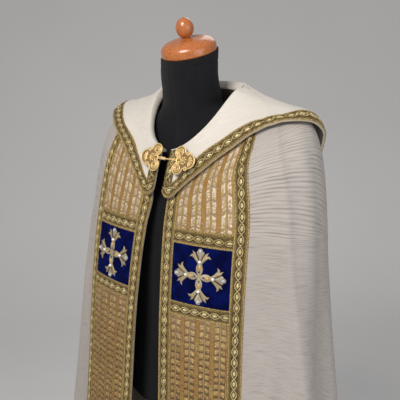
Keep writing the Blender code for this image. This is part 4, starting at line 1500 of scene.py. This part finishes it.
def clasp_dome(piece, side, x, y, z, size, height):
    """A small round dome on a plate."""
    middle = clasp_place(side, x, y, z)
    along = unit(clasp_place(side, x + 1e-3, y, z) - middle)
    out = unit(clasp_place(side, x, y, z + 1e-3) - middle)
    stone(piece, middle, along, np.cross(out, along), out, size, size, height, 0, 10, 4)


def scroll(turns, first, last):
    """A spiral whose radius shrinks evenly from first to last as it turns."""
    t = np.linspace(0.0, 1.0, 40)
    radius = first + (last - first) * t
    angle = 2 * math.pi * turns * t
    return radius * np.cos(angle), radius * np.sin(angle)


def filigree(piece, side):
    """One trefoil: a back sheet coloured as painted shadow for its piercings, a roped rim, scrolls and
    grains in each lobe.
    """
    # The back sheet takes the second finish: painted shadow where the openwork would show the shade
    # behind.
    x, y = trefoil(0.0010)
    shrink = np.array((0.0, 0.02, 0.35, 0.7, 1.0, 1.0, 0.0))[:, None]
    z = np.array((0.0009, 0.0009, 0.0009, 0.0009, 0.0009, 0.0001, 0.0001))[:, None]
    uv = metres(np.append(x, x[0]) + 0 * z, np.append(y, y[0]) + 0 * z)
    piece.skin(clasp_place(side, x * shrink, y * shrink, z), uv, 1)
    x, y = trefoil(0.0014)
    clasp_tube(piece, side, x, y, 0.0017, 0.0014, closed=True)
    for degrees, reach, radius in LOBES:
        inner = radius - 0.0030
        if degrees:
            sx, sy = scroll(1.9, inner * 0.92, 0.0016)
            px, py = lobe_place(degrees, reach, -sx, math.copysign(1.0, degrees) * sy)
            clasp_tube(piece, side, px, py, 0.0015, 0.0013)
            for k in range(7):
                turn = math.radians(36.0 * k - 108.0)
                x, y = 0.62 * inner * math.cos(turn), 0.62 * inner * math.sin(turn)
                px, py = lobe_place(degrees, reach, np.array([x]), np.array([y]))
                clasp_dome(piece, side, px[0], py[0], 0.0011, 0.0026, 0.0012)
        else:
            for fan in (-70.0, -42.0, -14.0, 14.0, 42.0, 70.0):
                away = math.radians(fan)
                run = np.linspace(0.05, 0.98, 11) * inner
                px, py = lobe_place(degrees, reach, run * math.cos(away) - 0.002, run * math.sin(away))
                swell = 0.0006 + 0.0011 * np.sin(np.linspace(0.2, 2.6, 11)) ** 2
                clasp_tube(piece, side, px, py, 0.0013, swell, sides=7)
    for mirror in (+1, -1):
        sx, sy = scroll(1.5, 0.0046, 0.0012)
        clasp_tube(piece, side, 0.0150 + sx, mirror * (0.0142 + sy), 0.0014, 0.0011)
        sx, sy = scroll(1.3, 0.0044, 0.0012)
        clasp_tube(piece, side, -0.0062 - sx, mirror * (0.0052 + sy), 0.0014, 0.0011)
    for k in range(8):
        turn = k * math.pi / 4 + math.pi / 8
        run = np.linspace(0.0030, 0.0086, 9)
        swell = 0.0006 + 0.0009 * np.sin(np.linspace(0.2, 2.7, 9)) ** 2
        x, y = 0.0052 + run * math.cos(turn), run * math.sin(turn)
        clasp_tube(piece, side, x, y, 0.0014, swell, sides=7)
    clasp_dome(piece, side, 0.0052, 0.0, 0.0012, 0.0052, 0.0034)
    run = np.linspace(-0.0100, -PLATE_TAB_REACH, 12)
    taper = np.linspace(1.0, 0.35, 12)
    for offset in (-0.0018, 0.0018):
        clasp_tube(piece, side, run, offset * taper, 0.0013, 0.0012)
    eye = full_turn(20)
    x, y = 0.0012 - PLATE_TAB_REACH + 0.0020 * np.cos(eye), 0.0026 * np.sin(eye)
    clasp_tube(piece, side, x, y, 0.0013, 0.0009, closed=True)


def matt_gold():
    """Cast and brushed gold, darker in its hollows and joins as painted shade, brighter on its high
    convex parts.
    """
    made, tree, shader = finish("matt gold", (0.80, 0.55, 0.25), 0.42, 0.5)
    place = object_place(tree)
    pits = noise(tree, place, 1600.0, 2.0)
    cloudy = noise(tree, place, 160.0, 2.0)
    pointiness = tree.nodes.new("ShaderNodeNewGeometry").outputs["Pointiness"]
    convex = ramp(tree, pointiness, 0.47, 0.56)
    colour = blend(tree, cloudy, (0.78, 0.53, 0.21), (0.94, 0.71, 0.34))
    # Painted shade: where pointiness is low, in hollows and joins, the gold is darkened.
    colour = blend(tree, convex, (0.42, 0.24, 0.085), colour)
    rough = ramp(tree, pits, 0.3, 0.7, 0.30, 0.50)
    wire(tree, shader, colour, rough, bump(tree, pits, 0.0002, 0.4))
    return made


def painted_shadow_back():
    """A dark sheet behind the scrolls, coloured as painted shadow for the shadowed openwork: dark with
    a grain of gold.
    """
    made, tree, shader = finish("painted shadow back", (0.10, 0.06, 0.025), 0.6, 0.4)
    grain = noise(tree, object_place(tree), 1300.0, 2.0)
    colour = blend(tree, ramp(tree, grain, 0.42, 0.62), (0.10, 0.058, 0.022), (0.50, 0.33, 0.15))
    wire(tree, shader, colour, None, bump(tree, grain, 0.0003, 0.6))
    return made


CLASP = (matt_gold(), painted_shadow_back(), EMBROIDERY[CRYSTAL])


def make_clasp():
    """Both plates, and the barred link with a small stone between them."""
    for side, label in SIDES.items():
        piece = Piece()
        filigree(piece, side)
        piece.make(f"clasp_filigree_{label}", CLASP, "clasp_gold", (f"clasp_plate_{label}",), 60)
    first = PLATE_CENTRES[-1] + PLATE_TAB_REACH
    last = PLATE_CENTRES[+1] - PLATE_TAB_REACH
    x = np.linspace(first - 0.0016, last + 0.0016, 26)
    y = 0 * x + CLASP_Y - PLATE_THICKNESS / 2
    along = x - first
    radius = LINK_RADIUS * (0.85 + 0.3 * np.cos(along * 2 * math.pi / 0.004) ** 2)
    piece = Piece()
    tube(piece, np.stack([x, y, 0 * x + PLATE_Z], axis=-1), radius, 0, 12, closed=False)
    middle = np.array((first + STUD_PLACE, CLASP_Y - PLATE_THICKNESS / 2, PLATE_Z))
    right, back, up = np.eye(3)
    stone(piece, middle, right, up, -back, 2.3 * STUD_RADIUS, 2.0 * STUD_RADIUS, STUD_RADIUS, 0)
    middle = middle - back * STUD_RADIUS * 0.75
    stone(piece, middle, right, up, -back, 0.0042, 0.0042, 0.0018, 2, 8, 3)
    piece.make("clasp_bar", CLASP, "clasp_gold", ("clasp_link",), 60)


make_clasp()


# Dress form -----------------------------------------------------------------
def form_torso():
    """The bust: ovals whose sizes follow smooth curves of height, with sewn lines.

    The neck narrows to a circle and is cut on a slant at its top.
    """
    table = np.vstack([
        FORM_SECTIONS,
        (1.522, NECK_RADIUS, -NECK_RADIUS, NECK_RADIUS),
        (NECK_TOP_Z, NECK_RADIUS, -NECK_RADIUS, NECK_RADIUS),
    ])
    z = np.concatenate([np.linspace(0.82, 1.36, 60), np.linspace(1.363, NECK_TOP_Z, 78)])[:, None]
    wide, front, back = (smooth_curve(z, table[:, 0], table[:, k]) for k in (1, 2, 3))
    angle = full_turn(144)[None, :]
    sink = 0.0
    for seam in TORSO_SEAMS:
        away = (angle - math.radians(seam) + math.pi) % (2 * math.pi) - math.pi
        sink = sink + SEWN_SINK * np.exp(-((away * wide / 0.0022) ** 2))
    for height, width in TORSO_BANDS:
        sink = sink + SEWN_SINK * np.exp(-(((z - height) / width) ** 2))
    x = (wide - sink) * np.sin(angle)
    y = (front + back) / 2 - ((back - front) / 2 - sink) * np.cos(angle)
    slant = math.tan(NECK_TILT) * np.clip((z - 1.50) / (NECK_TOP_Z - 1.50), 0.0, 1.0) ** 2
    points = np.stack([x, y, z + y * slant], axis=-1)
    ends = [np.broadcast_to(ring.mean(axis=0), ring.shape)[None] for ring in (points[0], points[-1])]
    points = np.concatenate([ends[0], points, ends[1]])
    rows = np.concatenate([z[:1], z, z[-1:]])
    uv = metres(np.linspace(0.0, 2 * math.pi, 145)[None, :] * 0.17, rows)
    piece = Piece()
    piece.skin(points, uv)
    piece.make("form_jersey", (JERSEY,), "jersey", ("form_torso",), 60)


def turned(node, material, slot, profile, sides, centre=(0.0, 0.0, 0.0), tilt=0.0):
    """A solid turned about its own upright line, then tilted and put in place.

    The profile's (radius, height) places start and end on the line, and each
    stretch between them is halved.
    """
    profile = np.array(profile)
    knots = np.arange(len(profile), dtype=float)
    at = np.linspace(0.0, knots[-1], 2 * len(profile) - 1)
    radius, height = (np.interp(at, knots, profile[:, k]) for k in (0, 1))
    turn = full_turn(sides)[None, :]
    x, y = radius[:, None] * np.sin(turn), -radius[:, None] * np.cos(turn)
    z = height[:, None] + 0 * x
    points = np.stack([
        x, y * math.cos(tilt) - z * math.sin(tilt), y * math.sin(tilt) + z * math.cos(tilt),
    ], axis=-1) + np.array(centre)
    run = running(np.hypot(np.diff(radius), np.diff(height)))[:, None]
    uv = metres(np.linspace(0.0, 2 * math.pi, sides + 1)[None, :] * radius.max(), run)
    piece = Piece()
    piece.skin(points, uv)
    piece.make(f"{node}_turned", (material,), slot, (node,), 40)


def arc(centre, radius, first, last, count):
    """Places on a circle's arc between two angles in degrees."""
    angle = np.radians(np.linspace(first, last, count))
    return list(zip(centre[0] + radius * np.cos(angle), centre[1] + radius * np.sin(angle)))


def dome(radius, low, high, power, count):
    """Places up a rounded top: the quarter of a superellipse."""
    angle = np.linspace(0.0, math.pi / 2, count)
    out, up = np.cos(angle) ** (2 / power), np.sin(angle) ** (2 / power)
    return list(zip(radius * out, low + (high - low) * up))


def jersey():
    """Black jersey: fine columns of knit, a little lint and a soft rim."""
    made, tree, shader = finish(
        "black jersey", (0.008, 0.008, 0.010), 0.85, sheen_weight=0.04, sheen_roughness=0.5,
        specular_ior_level=0.2,
    )
    place = uv_of(tree)
    u, v, _ = split(tree, place)
    wales = sine(u * (2 * math.pi * 700.0))
    courses = sine(v * (2 * math.pi * 850.0))
    lint = noise(tree, place, 900.0, 2.0)
    drape = noise(tree, place, 14.0, 2.0)
    colour = blend(tree, ramp(tree, lint, 0.55, 0.85), (0.007, 0.007, 0.009), (0.028, 0.028, 0.034))
    height = wales * (courses + 1.4) * 0.3 + drape * 2.5
    rough = ramp(tree, drape, 0.3, 0.7, 0.78, 0.92)
    wire(tree, shader, colour, rough, bump(tree, height, 0.0005, 0.6))
    return made


def turned_wood():
    """Varnished orange-brown wood: rings and long grain under a clear coat."""
    made, tree, shader = finish(
        "varnished wood", (0.52, 0.20, 0.06), 0.34, coat_weight=0.5, coat_roughness=0.16,
    )
    place = object_place(tree)
    mapping = tree.nodes.new("ShaderNodeMapping")
    link(tree, place, mapping.inputs["Vector"])
    mapping.inputs["Rotation"].default_value = (0.3, 0.25, 0.0)
    mapping.inputs["Scale"].default_value = (1.0, 6.0, 6.0)
    grain = noise(tree, mapping.outputs[0], 34.0, 4.0)
    fibre = noise(tree, place, 1.0, 2.0, stretch=(80.0, 1400.0, 1400.0))
    rings = sine(grain * 46.0)
    colour = blend(tree, ramp(tree, rings, -0.6, 0.9), (0.56, 0.19, 0.050), (0.36, 0.095, 0.022))
    colour = blend(tree, ramp(tree, fibre, 0.5, 0.8, 0.0, 0.45), colour, (0.20, 0.050, 0.014))
    rough = ramp(tree, fibre, 0.3, 0.7, 0.26, 0.40)
    wire(tree, shader, colour, rough, bump(tree, fibre, 0.0001, 0.25))
    return made


def powder_coat():
    """Black powder coat: a fine even orange peel, dusty on its flats."""
    made, tree, shader = finish("powder coat", (0.022, 0.022, 0.025), 0.5, specular_ior_level=0.5)
    place = object_place(tree)
    peel = noise(tree, place, 900.0, 2.0)
    dust = use_group(tree, HANDLING, place=place, scale=9.0)["Mask"]
    colour = blend(tree, dust * 0.35, (0.020, 0.020, 0.023), (0.085, 0.080, 0.075))
    rough = ramp(tree, dust, 0.0, 1.0, 0.42, 0.62)
    wire(tree, shader, colour, rough, bump(tree, peel, 0.0003, 0.5))
    return made


JERSEY, WOOD, COAT = jersey(), turned_wood(), powder_coat()


def make_form():
    """The bust, its wooden cap and knob, and the stand."""
    form_torso()
    cap = [(0.0, CLEARANCE), (CAP_RADIUS - 0.004, CLEARANCE), (CAP_RADIUS - 0.0008, 0.0012)]
    cap += [(CAP_RADIUS, 0.0030), *dome(CAP_RADIUS, 0.0060, CAP_HEIGHT, 2.9, 30)]
    turned("neck_cap", WOOD, "turned_wood", cap, 96, (0.0, 0.0, NECK_TOP_Z), NECK_TILT)
    out, up = CAP_HEIGHT * math.sin(NECK_TILT), CAP_HEIGHT * math.cos(NECK_TILT)
    stem, middle = KNOB_STEM_RADIUS, 0.0195
    knob = [(0.0, -0.0010), (stem + 0.0028, -0.0010), (stem + 0.0032, 0.0006), (stem + 0.0020, 0.0016)]
    lower = np.radians(np.linspace(-64.0, 0.0, 14))
    knob += list(zip(KNOB_RADIUS * np.cos(lower), middle + middle * np.sin(lower)))
    knob += dome(KNOB_RADIUS, middle, KNOB_HEIGHT, 2.0, 20)[1:]
    turned("neck_knob", WOOD, "turned_wood", knob, 64, (0.0, -out, NECK_TOP_Z + up), NECK_TILT)
    low, high, pole = FOOT_HEIGHT + CLEARANCE, FORM_SECTIONS[0, 0] - CLEARANCE, POLE_RADIUS
    turned("stand_pole", COAT, "stand_metal", (
        (0.0, low), (0.030, low), (0.032, low + 0.002), (0.030, low + 0.006), (0.020, low + 0.009),
        (pole + 0.002, low + 0.016), (pole, low + 0.022), (pole, 0.560), (pole + 0.004, 0.561),
        (pole + 0.005, 0.566), (pole + 0.005, 0.598), (pole + 0.003, 0.602),
        (pole - 0.002, 0.603), (pole - 0.002, high), (0.0, high),
    ), 48)
    rim, top, edge = FOOT_RADIUS, FOOT_HEIGHT, 0.008
    turned("stand_foot", COAT, "stand_metal", (
        (0.0, 0.0), (rim - 0.012, 0.0), (rim - 0.011, 0.003), (rim - 0.002, 0.003),
        *arc((rim - edge, top - edge), edge, -30.0, 90.0, 14),
        (0.120, top), (0.118, top - 0.0006), (0.116, top), (0.0, top),
    ), 120)


make_form()


# Floor, light and camera ----------------------------------------------------
def make_floor():
    """A pale floor that curves up behind into a backdrop."""
    depth = np.linspace(-4.0, 4.0, 41)
    rise = 0.9 * np.maximum(depth - BACKDROP_START, 0.0) ** 2
    x = np.linspace(-5.0, 5.0, 3)
    points = np.stack(np.broadcast_arrays(x[None, :], depth[:, None], rise[:, None]), axis=-1)
    points = points @ camera_axes().T
    mesh = bpy.data.meshes.new("floor")
    index = np.arange(points[..., 0].size).reshape(points.shape[:2])
    mesh.from_pydata(points.reshape(-1, 3).tolist(), [], quads_of(index)[:, ::-1].tolist())
    mesh.shade_smooth()
    made, tree, shader = finish("pale floor", (0.80, 0.79, 0.78), 0.8)
    cloudy = noise(tree, object_place(tree), 1.4, 3.0)
    wire(tree, shader, blend(tree, cloudy, (0.77, 0.76, 0.75), (0.83, 0.82, 0.81)))
    mesh.materials.append(made)
    floor = bpy.data.objects.new("floor", mesh)
    bpy.context.scene.collection.objects.link(floor)


def camera_axes():
    """The level axes of the view as columns: right, away and up."""
    cosine, sine_ = math.cos(CAMERA_TURN), math.sin(CAMERA_TURN)
    return np.array(((cosine, -sine_, 0.0), (sine_, cosine, 0.0), (0.0, 0.0, 1.0)))


def make_camera():
    """The camera, from the wearer's left front and a little above."""
    right, away, up = (Vector(a) for a in camera_axes().T)
    place = -away * CAMERA_AWAY + right * CAMERA_ASIDE + up * CAMERA_HEIGHT
    forward = away * math.cos(CAMERA_PITCH) - up * math.sin(CAMERA_PITCH)
    above = away * math.sin(CAMERA_PITCH) + up * math.cos(CAMERA_PITCH)
    facing = Matrix((right, above, -forward)).transposed().to_4x4()
    data = bpy.data.cameras.new("camera")
    data.lens, data.sensor_width = CAMERA_LENS, 36.0
    camera = bpy.data.objects.new("camera", data)
    camera.matrix_world = Matrix.Translation(place) @ facing
    bpy.context.scene.collection.objects.link(camera)
    bpy.context.scene.camera = camera


def make_light():
    """Soft square lights that face the chest, in an even room."""
    for name, place, size, power, colour in LIGHTS:
        place = Vector(camera_axes() @ np.array(place))
        data = bpy.data.lights.new(name, "AREA")
        data.size, data.energy, data.color = size, power, colour
        lamp = bpy.data.objects.new(name, data)
        lamp.location = place
        lamp.rotation_euler = (LIT_PLACE - place).to_track_quat("-Z", "Y").to_euler()
        bpy.context.scene.collection.objects.link(lamp)
    world = bpy.data.worlds.new("room")
    world.use_nodes = True
    background = world.node_tree.nodes["Background"]
    background.inputs["Color"].default_value = (0.93, 0.93, 0.94, 1.0)
    background.inputs["Strength"].default_value = 0.30
    bpy.context.scene.world = world
    bpy.context.scene.view_settings.view_transform = "Standard"


make_floor()
make_camera()
make_light()
